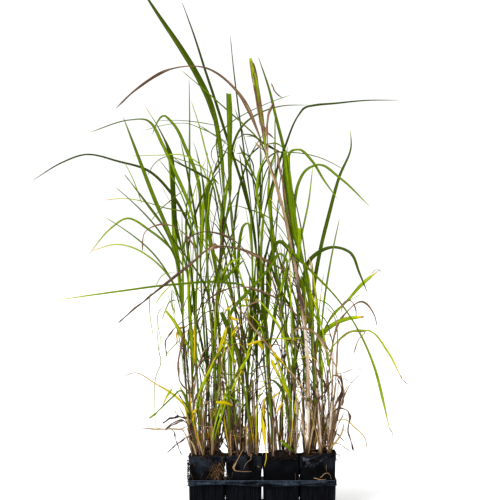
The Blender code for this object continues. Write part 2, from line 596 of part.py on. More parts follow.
        blade(49, ((10.4, 56.5), (11.8, 61.5), (17.8, 65), (22, 63.6), (24.3, 58.4), (26.3, 53.4)), -5, 12),
        blade(43, ((10.8, 46.6), (10.8, 50.4), (10.3, 54.1), (9.7, 57.6)), -3, 11, tip=4),
    )),
    shoot("shoot_4h", -1.9, 5.0, ((14.3, 12.8), (14.8, 22), (15.2, 28)), (
        blade(22, (
            (12.5, 25.5), (9, 31.1), (5.5, 35.3), (2.3, 39.2), (-2.5, 45), (-6, 49.8), (-9.5, 54.3),
        ), -6, 6),
    ), "dead"),
    shoot("shoot_4i", -0.8, 6.5, ((12.3, 12.8), (11.6, 24), (10.9, 35)), (), "straw"),
    shoot("shoot_4j", 3.4, 6.0, ((13.1, 12.8), (13.3, 23), (13.1, 32)), (), "dead"),
    shoot("shoot_4k", -0.1, 6.0, ((16.6, 12.8), (17.3, 22), (18.4, 31)), (
        blade(30, ((18.7, 37), (19.2, 41.6), (21.4, 43.5), (26, 43.8), (24.3, 42), (22.8, 38)), 4, 5),
        blade(21, ((20.7, 21.9), (22.9, 20), (25.7, 17.1), (26.2, 14.4)), -4, 4),
    ), "straw"),
    shoot("shoot_4l", -3.3, 5.5, ((14.9, 12.8), (14.2, 22), (13.6, 30)), (), "straw"),
)


def smooth_route(points):
    """Points at ROUTE_STEP along a smooth curve through points."""
    points = np.array(points, float)
    gaps = np.linalg.norm(np.diff(points, axis=0), axis=1)
    at = np.concatenate([[0], np.cumsum(gaps)])
    if len(points) > 2:
        slopes = np.gradient(points, at, axis=0)
    else:
        slopes = np.repeat(np.diff(points, axis=0) / gaps[0], 2, 0)
    fine = []
    for index, gap in enumerate(gaps):
        count = max(2, int(gap / ROUTE_STEP * 4))
        t = np.linspace(0, 1, count, endpoint=index == len(gaps) - 1)[:, None]
        fine.append(
            (2 * t**3 - 3 * t**2 + 1) * points[index]
            + (t**3 - 2 * t**2 + t) * gap * slopes[index]
            + (3 * t**2 - 2 * t**3) * points[index + 1]
            + (t**3 - t**2) * gap * slopes[index + 1]
        )
    return evenly(np.concatenate(fine), ROUTE_STEP)


def evenly(points, step):
    """The same curve with points a step apart."""
    run = np.concatenate([[0], np.cumsum(np.linalg.norm(np.diff(points, axis=0), axis=1))])
    count = max(3, int(round(run[-1] / step)) + 1)
    even = np.linspace(0, run[-1], count)
    return np.stack([np.interp(even, run, points[:, axis]) for axis in range(3)], axis=1)


def bends(points, tolerance):
    """Which points are enough for straight lines between them to stay within the tolerance of the curve."""
    keep = [0, len(points) - 1]
    spans = [(0, len(points) - 1)]
    while spans:
        first, last = spans.pop()
        if last - first < 2:
            continue
        chord = points[last] - points[first]
        inner = points[first + 1 : last] - points[first]
        along = np.clip(inner @ chord / (chord @ chord), 0, 1)
        off = np.linalg.norm(inner - along[:, None] * chord, axis=1)
        if off.max() > tolerance:
            middle = first + 1 + int(np.argmax(off))
            keep.append(middle)
            spans += [(first, middle), (middle, last)]
    return np.array(sorted(keep))


def at_depth(flat, depths):
    """Moves points of the plane y = 0 along their lines of sight from EYE to the given depths."""
    eye = np.array(EYE)
    stretch = (depths - EYE.y) / -EYE.y
    spread = eye + (flat - eye) * stretch[:, None]
    spread[:, 1] = depths
    return spread


def stem_route(one):
    """A stem's points, in metres, from the soil up."""
    flat = smooth_route([(x * CM, 0, z * CM) for x, z in one["stem"]])
    route = at_depth(flat, np.full(len(flat), one["depth"] * CM))
    route[:, 2] += SOIL_TOP + FIT_GAP - route[0, 2]
    return route


def blade_route(leaf, stem):
    """A leaf's points, in metres, from the middle of its stem, and the stem point that it leaves from."""
    foot = int(np.argmin(abs(stem[:, 2] - leaf["start"] * CM)))
    start = at_depth(stem[foot : foot + 1], np.zeros(1))[0]
    flat = smooth_route([start] + [(x * CM, 0, z * CM) for x, z in leaf["route"]])
    share = np.linspace(0, 1, len(flat))
    route = at_depth(flat, stem[foot, 1] + leaf["depth"] * CM * share**DEPTH_BEND)
    return route, foot


def blade_widths(leaf, count):
    """A leaf is narrow where it leaves its sheath, widest before the middle and drawn out towards its tip."""
    t = np.linspace(0, 1, count)
    shape = np.minimum(1, FOOT_SHARE + FOOT_SPREAD * t) * (1 - t**TAPER_START) ** TAPER_ROUNDNESS
    form = np.interp(t, np.linspace(0, 1, len(leaf["form"])), leaf["form"])
    return (leaf["tip"] + (leaf["width"] - leaf["tip"]) * shape) * form * MM


def make_threads():
    """Every stem and leaf as a thread: its points, their reach to either side and how freely they move."""
    threads = []
    for number, one in enumerate(GRASS):
        stem = stem_route(one)
        height = stem[:, 2] - stem[0, 2]
        threads.append({
            "shoot": number,
            "leaf": None,
            "points": stem,
            "reach": np.full(len(stem), one["girth"] / 2 * MM),
            "freedom": np.clip(height / STEM_EASE_LENGTH, 0, STEM_FREEDOM),
            "stem": None,
        })
        home = len(threads) - 1
        for leaf in one["blades"]:
            route, foot = blade_route(leaf, stem)
            run = np.arange(len(route)) * ROUTE_STEP
            threads.append({
                "shoot": number,
                "leaf": leaf,
                "points": route,
                "reach": blade_widths(leaf, len(route)) / 2,
                "freedom": np.clip(run / EASE_LENGTH, 0, 1),
                "stem": (home, foot),
            })
    return threads


def lack_of_room(points, reach, owner, freedom):
    """How far each point has to move in depth to come clear of the points of other shoots."""
    tree = kdtree.KDTree(len(points))
    for index, point in enumerate(points):
        tree.insert(point, index)
    tree.balance()
    widest = 2 * reach.max() + CLEARANCE
    push = np.zeros(len(points))
    for i, point in enumerate(points):
        for _, j, _ in tree.find_range(point, widest):
            if j <= i or owner[i] == owner[j]:
                continue
            dx, dy, dz = point - points[j]
            need = reach[i] + reach[j] + CLEARANCE
            aside = dx * dx + dz * dz
            if aside >= need * need:
                continue
            lack = math.sqrt(need * need - aside) - abs(dy)
            share = freedom[i] + freedom[j]
            if lack <= 0 or share == 0:
                continue
            side = 1 if dy > 0 or (dy == 0 and owner[i] > owner[j]) else -1
            for spot, way in ((i, side), (j, -side)):
                move = way * lack * freedom[spot] / share
                if abs(move) > abs(push[spot]):
                    push[spot] = move
    return push


def part_the_shoots(threads):
    """Moves stems and leaves in depth, in small smooth steps, until the shoots are clear of one another."""
    ease = np.exp(-0.5 * (np.arange(-EASE_REACH, EASE_REACH + 1) / EASE_SPREAD) ** 2)
    ease /= ease.sum()
    owner = np.concatenate([np.full(len(t["points"]), t["shoot"]) for t in threads])
    reach = np.concatenate([t["reach"] for t in threads])
    freedom = np.concatenate([t["freedom"] for t in threads])
    ends = np.cumsum([len(t["points"]) for t in threads])[:-1]
    for _ in range(ROUNDS):
        points = np.concatenate([t["points"] for t in threads])
        push = lack_of_room(points, reach, owner, freedom)
        if not push.any():
            break
        moves = []
        for thread, part in zip(threads, np.split(push, ends)):
            eased = np.convolve(np.pad(part, EASE_REACH, mode="edge"), ease, mode="valid")
            moves.append(EASE_GAIN * eased * np.minimum(1, thread["freedom"] / STEM_FREEDOM))
        for thread, move in zip(threads, moves):
            if thread["stem"] is not None:
                home, foot = thread["stem"]
                move = move + moves[home][foot]
            thread["points"][:, 1] += move


def blade_rings(thread, stem):
    """A leaf's sections: two edges and a keel under the midrib. It turns its face up where it leans over."""
    picks = bends(thread["points"], BLADE_TOLERANCE)
    route = thread["points"][picks]
    route[0] = [np.interp(route[0, 2], stem[:, 2], stem[:, axis]) for axis in range(3)]
    widths = blade_widths(thread["leaf"], len(thread["points"]))[picks]
    tangents = np.gradient(route, axis=0)
    rings = []
    for index, (point, tangent) in enumerate(zip(route, tangents)):
        along = Vector(tangent).normalized()
        away = Vector((0, 1, 0))
        face = along.cross(away).normalized()
        edge = (away - along * away.dot(along)).normalized()
        roll = math.radians(BLADE_ROLL + BLADE_LEAN_ROLL * (1 - abs(along.z)))
        across = face * math.cos(roll) + edge * math.sin(roll)
        up = across.cross(along)
        middle = Vector(point)
        half = widths[index] / 2
        thick = BLADE_THICKNESS * (1 - BLADE_THINNING * picks[index] / picks[-1])
        rise = up * (BLADE_FOLD * half)
        rings.append([middle - across * half + rise, middle + across * half + rise, middle - up * thick])
    return rings


def stem_rings(one, route):
    """A stem's sections, slightly thinner towards the top."""
    rings = []
    for index, point in enumerate(route):
        radius = one["girth"] / 2 * MM * (1 - STEM_THINNING * index / (len(route) - 1))
        rings.append([
            Vector(point) + radius * Vector((math.cos(turn), math.sin(turn), 0))
            for turn in np.arange(STEM_SIDES) * 2 * math.pi / STEM_SIDES
        ])
    return rings


def make_shoot(one, threads, collection, helpers, material):
    """A stem with its leaves grown onto it, as one solid."""
    spots = threads[0]["points"][bends(threads[0]["points"], STEM_TOLERANCE)]
    stem = new_object(one["name"], lofted(stem_rings(one, spots)), collection, material)
    for number, thread in enumerate(threads[1:], start=1):
        rings = blade_rings(thread, spots)
        leaf = new_object(f"{one['name']}_leaf_{number}", lofted(rings), helpers, material)
        hide(leaf)
        boolean(stem, leaf, "UNION")
    return stem


def main():
    clear_scene()
    clump = new_collection("potted_miscanthus_clump")
    cutters = new_collection("cutters", hidden=True)
    leaves = new_collection("leaves_to_join", hidden=True)
    plastic = new_material("black_plastic", (0.012, 0.014, 0.018), 0.5)
    compost = new_material("compost", (0.035, 0.022, 0.014), 0.95)
    grass = {
        "green": new_material("green_grass", (0.10, 0.22, 0.02), 0.55),
        "straw": new_material("straw_grass", (0.55, 0.42, 0.26), 0.65),
        "dead": new_material("dead_grass", (0.20, 0.12, 0.06), 0.8),
    }
    make_tray(clump, cutters, plastic)
    for index, centre in enumerate(POT_CENTRES, start=1):
        make_pot(index, centre, clump, cutters, plastic)
        make_soil(index, centre, clump, compost)
    threads = make_threads()
    part_the_shoots(threads)
    for number, one in enumerate(GRASS):
        own = [thread for thread in threads if thread["shoot"] == number]
        make_shoot(one, own, clump, leaves, grass[one["kind"]])


main()
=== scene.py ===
"""Four young miscanthus plants in square black pots, standing in a carrying tray.

Lengths are in metres unless a name says otherwise, +Z is up and the row of pots runs along X, with its front
towards -Y. A place that was read from the photograph is written as a column and a row of its pixels for the
pots, or in centimetres in the plane of the row for the grass.
"""

import math
import zlib

import bpy
import numpy as np
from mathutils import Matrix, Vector, kdtree, noise


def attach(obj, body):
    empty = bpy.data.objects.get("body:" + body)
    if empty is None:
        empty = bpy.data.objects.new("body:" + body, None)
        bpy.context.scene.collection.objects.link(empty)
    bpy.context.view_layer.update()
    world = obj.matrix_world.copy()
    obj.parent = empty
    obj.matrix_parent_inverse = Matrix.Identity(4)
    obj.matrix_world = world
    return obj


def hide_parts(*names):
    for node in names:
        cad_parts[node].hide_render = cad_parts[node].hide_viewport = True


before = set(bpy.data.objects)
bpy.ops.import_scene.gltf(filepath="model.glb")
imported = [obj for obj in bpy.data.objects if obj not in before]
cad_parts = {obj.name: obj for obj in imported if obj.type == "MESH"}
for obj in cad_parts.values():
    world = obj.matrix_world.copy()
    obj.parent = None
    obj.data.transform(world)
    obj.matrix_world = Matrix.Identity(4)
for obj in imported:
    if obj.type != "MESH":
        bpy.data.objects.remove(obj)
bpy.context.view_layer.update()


# ---- View, light and floor ------------------------------------------------------------------------------
# The camera stands 5 m in front of the row, level with the middle of the plants, as in the photograph. White
# light from all round and soft high lamps leave the plants on white, over a large pale floor.

PIXEL = 0.0025
MIDDLE_COLUMN = 262.3
GROUND_ROW = 506.5
PHOTO_SIDE = 500
VIEW_DISTANCE = 5.0


def across_row(column):
    """Where a column of the photograph is along the row of pots."""
    return (column - MIDDLE_COLUMN) * PIXEL


def up_from_ground(row):
    """How high a row of the photograph is over the row of pots."""
    return (GROUND_ROW - row) * PIXEL


scene = bpy.context.scene
eye = Vector((across_row(PHOTO_SIDE / 2), -VIEW_DISTANCE, up_from_ground(PHOTO_SIDE / 2)))
lens = bpy.data.cameras.new("camera")
lens.sensor_width = 36
lens.lens = lens.sensor_width * VIEW_DISTANCE / (PHOTO_SIDE * PIXEL)
camera = bpy.data.objects.new("camera", lens)
camera.location = eye
camera.rotation_euler = (math.radians(90), 0, 0)
scene.collection.objects.link(camera)
scene.camera = camera
scene.view_settings.view_transform = "Standard"


def colour(chart):
    """A colour of a paint chart, such as "#536b09", in linear light."""
    parts = [int(chart[place : place + 2], 16) / 255 for place in (1, 3, 5)]
    linear = [part / 12.92 if part <= 0.04045 else ((part + 0.055) / 1.055) ** 2.4 for part in parts]
    return (*linear, 1.0)


def fill(tree, node, sockets):
    """Fills sockets of a node with values, or with links from other nodes."""
    for socket, value in sockets.items():
        if isinstance(value, bpy.types.NodeSocket):
            tree.links.new(value, node.inputs[socket])
        else:
            node.inputs[socket].default_value = value


def add_node(tree, kind, sockets=None, **settings):
    """Adds a node, sets its options and fills its sockets."""
    made = tree.nodes.new(kind)
    for option, value in settings.items():
        setattr(made, option, value)
    fill(tree, made, sockets or {})
    return made


def ranged(tree, value, given, wanted, **settings):
    """A node that turns the span of values given into the span wanted."""
    low, high = given
    spans = {"Value": value, "From Min": low, "From Max": high, "To Min": wanted[0], "To Max": wanted[1]}
    return add_node(tree, "ShaderNodeMapRange", spans, **settings)


def relief(tree, height, strength, depth):
    """The normals of a surface that is uneven by a height."""
    bump = add_node(tree, "ShaderNodeBump", {"Height": height, "Strength": strength, "Distance": depth})
    return bump.outputs["Normal"]


def new_material(name):
    """A bare material: its node tree and its Principled shader."""
    material = bpy.data.materials.new(name)
    material.use_nodes = True
    return material, material.node_tree, material.node_tree.nodes["Principled BSDF"]


# How bright the white surround is as a light, and how bright it shows behind the plants
SURROUND_LIGHT, SURROUND_SHOWN = 0.42, 1.05

world = bpy.data.worlds.new("white_studio")
world.use_nodes = True
scene.world = world
ray = add_node(world.node_tree, "ShaderNodeLightPath")
levels = (SURROUND_LIGHT, SURROUND_SHOWN)
brightness = ranged(world.node_tree, ray.outputs["Is Camera Ray"], (0, 1), levels).outputs["Result"]
backdrop = world.node_tree.nodes["Background"]
fill(world.node_tree, backdrop, {"Color": (1, 1, 1, 1), "Strength": brightness})

# Three soft lamps: their energy, and how far each is tilted from straight down and turned round the plants
LAMPS = (("left_lamp", 2.7, 36, -34), ("right_lamp", 1.15, 42, 40), ("back_lamp", 0.9, -40, 10))
LAMP_SOFTNESS = 20

for name, energy, tilt, turn in LAMPS:
    lamp = bpy.data.lights.new(name, "SUN")
    lamp.energy = energy
    lamp.angle = math.radians(LAMP_SOFTNESS)
    hung = bpy.data.objects.new(name, lamp)
    hung.rotation_euler = (math.radians(tilt), 0, math.radians(turn))
    scene.collection.objects.link(hung)


def mesh_object(name, spots, faces, material):
    """A new smooth object made of spots and faces."""
    mesh = bpy.data.meshes.new(name)
    mesh.from_pydata([tuple(spot) for spot in spots], [], [tuple(int(i) for i in face) for face in faces])
    mesh.update()
    thing = bpy.data.objects.new(name, mesh)
    scene.collection.objects.link(thing)
    mesh.materials.append(material)
    mesh.shade_smooth()
    return thing


FLOOR_HALF = 30.0
# The floor lies this much lower than the feet of the tray, so that they share no plane
FLOOR_DROP = 0.0005

floor_material, floor_tree, floor_shader = new_material("pale_floor")
floor_grain = add_node(floor_tree, "ShaderNodeTexNoise", {"Scale": 60.0, "Detail": 3.0})
fill(floor_tree, floor_shader, {
    "Base Color": (0.9, 0.9, 0.9, 1),
    "Roughness": 0.9,
    "Normal": relief(floor_tree, floor_grain.outputs["Fac"], 0.05, 0.001),
})
floor_corners = [(FLOOR_HALF * x, FLOOR_HALF * y, 0) for x, y in ((-1, -1), (1, -1), (1, 1), (-1, 1))]
floor = mesh_object("floor", floor_corners, [(0, 1, 2, 3)], floor_material)
floor.location.z = -FLOOR_DROP


# ---- Carrying tray --------------------------------------------------------------------------------------
# A thin black sheet drawn over a mould: a plate with a turned-down lip that has gone wavy in use, and four
# tapering cups below it with upright ribs. Low blocks join the cups' feet. The pots drop into the cups.

POT_PITCH = 0.092
POT_CENTRES = [(number - 1.5) * POT_PITCH for number in range(4)]
TRAY_TOP = 0.0705
TRAY_HALF_LENGTH = 0.184
TRAY_HALF_DEPTH = 0.0485
TRAY_ROUNDING = 0.007
SHEET = 0.0014
# A cup's widths outside, at the plate and at its foot, and inside, at its mouth and on its floor
CUP_TOP, CUP_FOOT = 0.0896, 0.0862
CUP_MOUTH, CUP_FLOOR = 0.0857, 0.0826
CUP_ROUNDING = 0.009
CUP_HOLE = 0.036
RIBS_PER_SIDE = 8
RIB_RISE = 0.0011
# What share of the gap to its neighbour the left and the right wall of each cup are pressed out by
CUP_BULGES = ((0.0, 1.0), (1.0, 0.0), (0.0, 1.0), (1.0, 0.0))
# Bulging walls of neighbours keep this far from the middle of the gap
WALL_GAP = 0.0002
LIP_BOTTOM = 0.0572
# How low the front of the lip hangs: column and row of its lower edge
LIP_WAVES = (
    (188, 486.8), (196, 486.0), (206, 485.0), (216, 484.5), (232, 484.7), (244, 485.8), (256, 486.6),
    (270, 487.0), (284, 486.4), (298, 485.8), (314, 486.4), (324, 486.0), (336, 485.8),
)
# The lip's section, from the plate down its outside and up behind: share of its height, millimetres out
LIP_SECTION = (
    (0, -0.9), (0.04, -0.2), (0.14, 0.3), (0.3, 0.1), (0.5, -0.25), (0.7, 0.0), (0.88, 0.5), (0.97, 0.5),
    (1.0, 0.0), (0.96, -0.9), (0.7, -1.4), (0.4, -1.6), (0.15, -1.4), (0.04, -1.6), (0, -1.8),
)
# The section of a low block: its front and its back half the same, as depth and height
BLOCK_SECTION = (
    (-0.024, 0.0), (0.024, 0.0), (0.025, 0.012), (0.0225, 0.0165), (-0.0225, 0.0165), (-0.025, 0.012),
)


def rounded_square(width, rounding, side_spots, corner_spots, depth=None):
    """Spots round a square with round corners, from its front left, and the way out at each.

    Each also has its place along its side: from -1 to 1 on the straight, and 2 round a corner. depth makes an
    oblong of the square.
    """
    halves = (width / 2, (depth or width) / 2)
    spots, ways, along_side = [], [], []
    for quarter in range(4):
        turn = math.radians(90 * (quarter - 1))
        out = np.array((math.cos(turn), math.sin(turn)))
        along = np.array((-out[1], out[0]))
        reach, run = (halves[1], halves[0]) if quarter % 2 == 0 else (halves[0], halves[1])
        for step in range(side_spots):
            place = 2 * step / side_spots - 1
            spots.append(out * reach + along * place * (run - rounding))
            ways.append(out)
            along_side.append(place)
        middle = out * (reach - rounding) + along * (run - rounding)
        for step in range(corner_spots):
            angle = turn + math.radians(90) * step / corner_spots
            way = np.array((math.cos(angle), math.sin(angle)))
            spots.append(middle + rounding * way)
            ways.append(way)
            along_side.append(2 if step else 1)
    return np.array(spots), np.array(ways), np.array(along_side)


def lofted(rings, close=True, caps=False):
    """Spots and faces through rings of equally many corners.

    close joins each ring's last corner to its first. caps closes the first and the last ring.
    """
    rings = np.array(rings, float)
    count, sides = rings.shape[:2]
    faces = []
    for row in range(count - 1):
        for side in range(sides if close else sides - 1):
            here, there = row * sides + side, row * sides + (side + 1) % sides
            faces.append((here, there, there + sides, here + sides))
    if caps:
        faces.append(tuple(range(sides))[::-1])
        faces.append(tuple((count - 1) * sides + side for side in range(sides)))
    return rings.reshape(-1, 3), faces


def flat_ring(spots, z, centre_x):
    """A ring of 3-D spots at one height."""
    return np.column_stack([spots[:, 0] + centre_x, spots[:, 1], np.full(len(spots), z)])


def joined(*pieces):
    """Several sets of spots and faces as one."""
    spots, faces, first = [], [], 0
    for piece_spots, piece_faces in pieces:
        spots.extend(piece_spots)
        faces.extend(tuple(first + corner for corner in face) for face in piece_faces)
        first += len(piece_spots)
    return spots, faces


def rough(place, scale, seed=0.0):
    """Smooth unevenness from about -1 to 1 at a place."""
    x, y, z = place
    return noise.noise(Vector((x * scale + seed, y * scale - seed, z * scale + 2 * seed)))


def add_setting(group, name, value, kind="NodeSocketFloat"):
    """Gives a node group a setting, which is an input with its usual value."""
    group.interface.new_socket(name, in_out="INPUT", socket_type=kind).default_value = value


def both(tree, operation, one, other):
    """A maths node that works on what two nodes put out first."""
    return add_node(tree, "ShaderNodeMath", {0: one.outputs[0], 1: other.outputs[0]}, operation=operation)


def add_outputs(group, **sources):
    """Gives a node group an output for each source: the first output of a node."""
    for name in sources:
        group.interface.new_socket(name, in_out="OUTPUT", socket_type="NodeSocketFloat")
    result = add_node(group, "NodeGroupOutput")
    for name, source in sources.items():
        group.links.new(source.outputs[0], result.inputs[name])


def dust_highlight_and_scuffs():
    """A node group for old black plastic: masks of dust with painted highlight, and of fine scratches, and a
    height of both.

    The mask of dust and highlight is painted sheen towards the upper of two heights, and painted highlight on
    faces that turn upwards.
    """
    group = bpy.data.node_groups.new("dust_highlight_and_scuffs", "ShaderNodeTree")
    add_setting(group, "Dust Scale", 30.0)
    add_setting(group, "Dust Amount", 0.5)
    add_setting(group, "Dust From", 0.0)
    add_setting(group, "Dust To", 0.1)
    add_setting(group, "Scuff Scale", 300.0)
    add_setting(group, "Dust Shape", (1, 1, 1), "NodeSocketVector")
    given = add_node(group, "NodeGroupInput").outputs
    place = add_node(group, "ShaderNodeTexCoord").outputs["Object"]
    drawn_out = add_node(
        group, "ShaderNodeVectorMath", {0: place, 1: given["Dust Shape"]}, operation="MULTIPLY"
    )
    patches = add_node(
        group,
        "ShaderNodeTexNoise",
        {"Vector": drawn_out.outputs[0], "Scale": given["Dust Scale"], "Detail": 8.0, "Roughness": 0.65},
    )
    upright = add_node(group, "ShaderNodeMapping", {"Vector": place, "Scale": (1.0, 1.0, 0.10)})
    scratches = add_node(
        group,
        "ShaderNodeTexNoise",
        {"Vector": upright.outputs["Vector"], "Scale": given["Scuff Scale"], "Detail": 4.0},
    )
    scuffs = ranged(group, scratches.outputs["Fac"], (0.4, 0.68), (0, 1))
    dust_and_highlight_patches = ranged(group, patches.outputs["Fac"], (0.42, 0.66), (0, given["Dust Amount"]))
    # The mask grows towards the upper of the two heights: dust, and painted sheen on the upper walls
    over_ground = add_node(group, "ShaderNodeSeparateXYZ", {"Vector": place}).outputs["Z"]
    heights = (given["Dust From"], given["Dust To"])
    high = ranged(group, over_ground, heights, (0.12, 1), interpolation_type="SMOOTHSTEP")
    wiped = add_node(
        group, "ShaderNodeMath", {0: scuffs.outputs[0], 1: 0.6, 2: 0.4}, operation="MULTIPLY_ADD"
    )
    left = both(group, "MULTIPLY", dust_and_highlight_patches, wiped)
    hanging = both(group, "MULTIPLY", left, high)
    # Faces that turn upwards get the colour too: painted highlight along top edges, rims and the ends of ribs
    normal = add_node(group, "ShaderNodeNewGeometry").outputs["Normal"]
    facing = add_node(group, "ShaderNodeSeparateXYZ", {"Vector": normal})
    upward = ranged(group, facing.outputs["Z"], (0.12, 0.75), (0, given["Dust Amount"]))
    top_highlight = both(group, "MULTIPLY", upward, wiped)
    dust = both(group, "MAXIMUM", hanging, top_highlight)
    add_outputs(group, Dust=dust, Scuffs=scuffs, Height=both(group, "ADD", patches, scratches))
    return group


DUST_AND_HIGHLIGHT = dust_highlight_and_scuffs()
CLEAN_PLASTIC = "#020203"
# How much rougher the plastic is where it is scuffed
SCUFFED_DULLER = 0.22


def paint_ramp(ramp, stops):
    """Gives a colour ramp its stops: places and colours."""
    elements = ramp.color_ramp.elements
    while len(elements) < len(stops):
        elements.new(0.5)
    for element, (place, chart) in zip(elements, stops):
        element.position = place
        element.color = colour(chart)


def black_plastic(name, dust_and_highlight_colour, dust_and_highlight_amount, dust_and_highlight_heights, sheen, dust_and_highlight_scale=30.0, dust_and_highlight_shape=(1, 1, 1)):
    """Thin black plastic: dust_and_highlight_colour is its colour under dust and painted highlight, sheen its
    roughness where it is clean.

    The dust and painted sheen grow from the lower to the upper of dust_and_highlight_heights, and faces that
    turn upwards get painted highlight along their edges. dust_and_highlight_amount is a share, or the name of
    an attribute that holds it. dust_and_highlight_shape draws its patches out where it is below 1.
    """
    material, tree, shader = new_material(name)
    if isinstance(dust_and_highlight_amount, str):
        dust_and_highlight_amount = add_node(tree, "ShaderNodeAttribute", attribute_name=dust_and_highlight_amount).outputs["Fac"]
    low, high = dust_and_highlight_heights
    surface = add_node(tree, "ShaderNodeGroup", {
        "Dust Scale": dust_and_highlight_scale, "Dust From": low, "Dust To": high, "Dust Amount": dust_and_highlight_amount,
        "Dust Shape": dust_and_highlight_shape, "Scuff Scale": 420.0,
    }, node_tree=DUST_AND_HIGHLIGHT)
    paint = add_node(tree, "ShaderNodeValToRGB", {"Fac": surface.outputs["Dust"]})
    paint_ramp(paint, ((0, CLEAN_PLASTIC), (1, dust_and_highlight_colour)))
    gloss = ranged(tree, surface.outputs["Scuffs"], (0, 1), (sheen, sheen + SCUFFED_DULLER))
    fill(tree, shader, {
        "Base Color": paint.outputs["Color"],
        "Roughness": gloss.outputs["Result"],
        "Normal": relief(tree, surface.outputs["Height"], 0.35, 0.0006),
        "Specular IOR Level": 0.03,
    })
    return material


def tray_cup(centre, bulges):
    """One cup as a closed shell: out from the drain hole, up the ribbed wall, over its edge and down inside.

    bulges is how far its left and its right wall are pressed out towards the next cup, over the low block.
    """

    def outline(width, rise, pressed=0.0):
        spots, ways, along = rounded_square(width, CUP_ROUNDING, 8 * RIBS_PER_SIDE, 6)
        wave = 0.5 + 0.5 * np.cos(math.pi * RIBS_PER_SIDE * (along + 1))
        lift = np.where(abs(along) < 1, wave, 0) ** 0.6
        room = (POT_PITCH - width) / 2 - WALL_GAP
        side = np.where(ways[:, 0] < 0, bulges[0], bulges[1]) * room * abs(ways[:, 0]) ** 2 * pressed
        return spots - ways * ((1 - lift) * rise - side)[:, None]

    hole = outline(CUP_HOLE, 0)
    rings = [flat_ring(hole, 0.0, centre), flat_ring(outline(CUP_FOOT - 0.003, 0), 0.0, centre)]
    for share in np.linspace(0, 1, 15):
        z = 0.0015 + share * (TRAY_TOP - 0.0025)
        rise = RIB_RISE * min(1, 6 * share, 12 * (1 - share))
        pressed = min(1, max(0, 7 * share - 1.6))
        rings.append(flat_ring(outline(CUP_FOOT + (CUP_TOP - CUP_FOOT) * share, rise, pressed), z, centre))
    rings.append(flat_ring(outline(CUP_MOUTH, 0), TRAY_TOP - 0.0006, centre))
    rings.append(flat_ring(outline(CUP_FLOOR, 0), SHEET, centre))
    rings.append(flat_ring(hole, SHEET, centre))
    rings.append(rings[0])
    return lofted(rings)


def tray_plate(centre):
    """The flat of the tray round one cup."""
    inner, _, _ = rounded_square(CUP_TOP - 0.001, CUP_ROUNDING, 24, 6)
    from_middle = np.maximum(abs(inner), 1e-6)
    reach = np.minimum(POT_PITCH / 2 / from_middle[:, 0], (TRAY_HALF_DEPTH - 0.001) / from_middle[:, 1])
    outer = inner * reach[:, None]
    low = TRAY_TOP - SHEET
    section = ((inner, TRAY_TOP), (inner, low), (outer, low), (outer, TRAY_TOP), (inner, TRAY_TOP))
    return lofted([flat_ring(spots, z, centre) for spots, z in section])


def seen_at(column, row, y):
    """The place at depth y that the photograph shows at a column and a row."""
    away = (VIEW_DISTANCE + y) / VIEW_DISTANCE
    return np.array((
        eye.x + (across_row(column) - eye.x) * away, y, eye.z + (up_from_ground(row) - eye.z) * away,
    ))


def tray_lip():
    """The band that hangs round the plate's edge, bent out of true, with its lower edge rolled."""
    path, ways, _ = rounded_square(2 * TRAY_HALF_LENGTH, TRAY_ROUNDING, 120, 8, depth=2 * TRAY_HALF_DEPTH)
    columns = [column for column, _ in LIP_WAVES]
    rows = [row for _, row in LIP_WAVES]
    rings = []
    for spot, way in zip(path, ways):
        hang = LIP_BOTTOM + 0.0010 * rough((*spot, 0), 26, 3)
        front = max(0.0, -way[1])
        column = MIDDLE_COLUMN + spot[0] / PIXEL
        hang += front * (seen_at(column, np.interp(column, columns, rows), spot[1])[2] - hang)
        ring = []
        for share, out in LIP_SECTION:
            z = TRAY_TOP - share * (TRAY_TOP - hang)
            place = (*spot, z)
            bulge = out * 0.001 + 0.0011 * share * rough(place, 38, 9) + 0.0006 * rough(place, 90, 5)
            ring.append((*(spot + way * bulge), z))
        rings.append(ring + [ring[0]])
    rings.append(rings[0])
    return lofted(rings, close=False)


def tray_block(left, right):
    """A low block between the feet of two cups."""
    return lofted([[(x, y, z) for y, z in BLOCK_SECTION] for x in np.linspace(left, right, 5)], caps=True)


# The lip's bluish grey is drawn out into streaks along it, and the cups' into streaks up their ribs: partly
# dust, and partly painted highlight where the lip and the ribs catch the light
tray_plastic = black_plastic("tray_plastic", "#414d5d", 1.0, (0.053, 0.061), 0.38, 60.0, (0.22, 1, 1.5))
cup_plastic = black_plastic("cup_plastic", "#333d4b", 0.20, (-0.01, 0.0), 0.42, 420.0, (1, 1, 0.035))
# The blocks run this far into the walls of the cups
BLOCK_LAP = 0.002
blocks = []
for left, right in zip(POT_CENTRES, POT_CENTRES[1:]):
    blocks.append(tray_block(left + CUP_FOOT / 2 - BLOCK_LAP, right - CUP_FOOT / 2 + BLOCK_LAP))
cups = joined(*[tray_cup(centre, bulges) for centre, bulges in zip(POT_CENTRES, CUP_BULGES)])
deck = joined(*[tray_plate(centre) for centre in POT_CENTRES], tray_lip(), *blocks)
tray = mesh_object("carrying_tray", *joined(cups, deck), tray_plastic)
tray.data.materials.append(cup_plastic)
tray.data.polygons.foreach_set("material_index", [1] * len(cups[1]) + [0] * len(deck[1]))
tray.data.set_sharp_from_angle(angle=math.radians(40))
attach(tray, "root")
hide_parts("carry_tray")


# ---- Pots -----------------------------------------------------------------------------------------------
# Thin soft black nursery pots, blown square and tapering, with a thicker collar at the mouth. They are dented
# and dusty, with painted sheen on their upper walls, and the mouth of the right-hand one is crushed: its
# front is folded out and down.

POT_FOOT_Z = 0.0018
POT_TOP = 0.130
POT_FOOT = 0.0815
POT_MOUTH = 0.0880
POT_ROUNDING = 0.008
POT_WALL = 0.0011
COLLAR_Z = 0.114
COLLAR_STEP = 0.0011
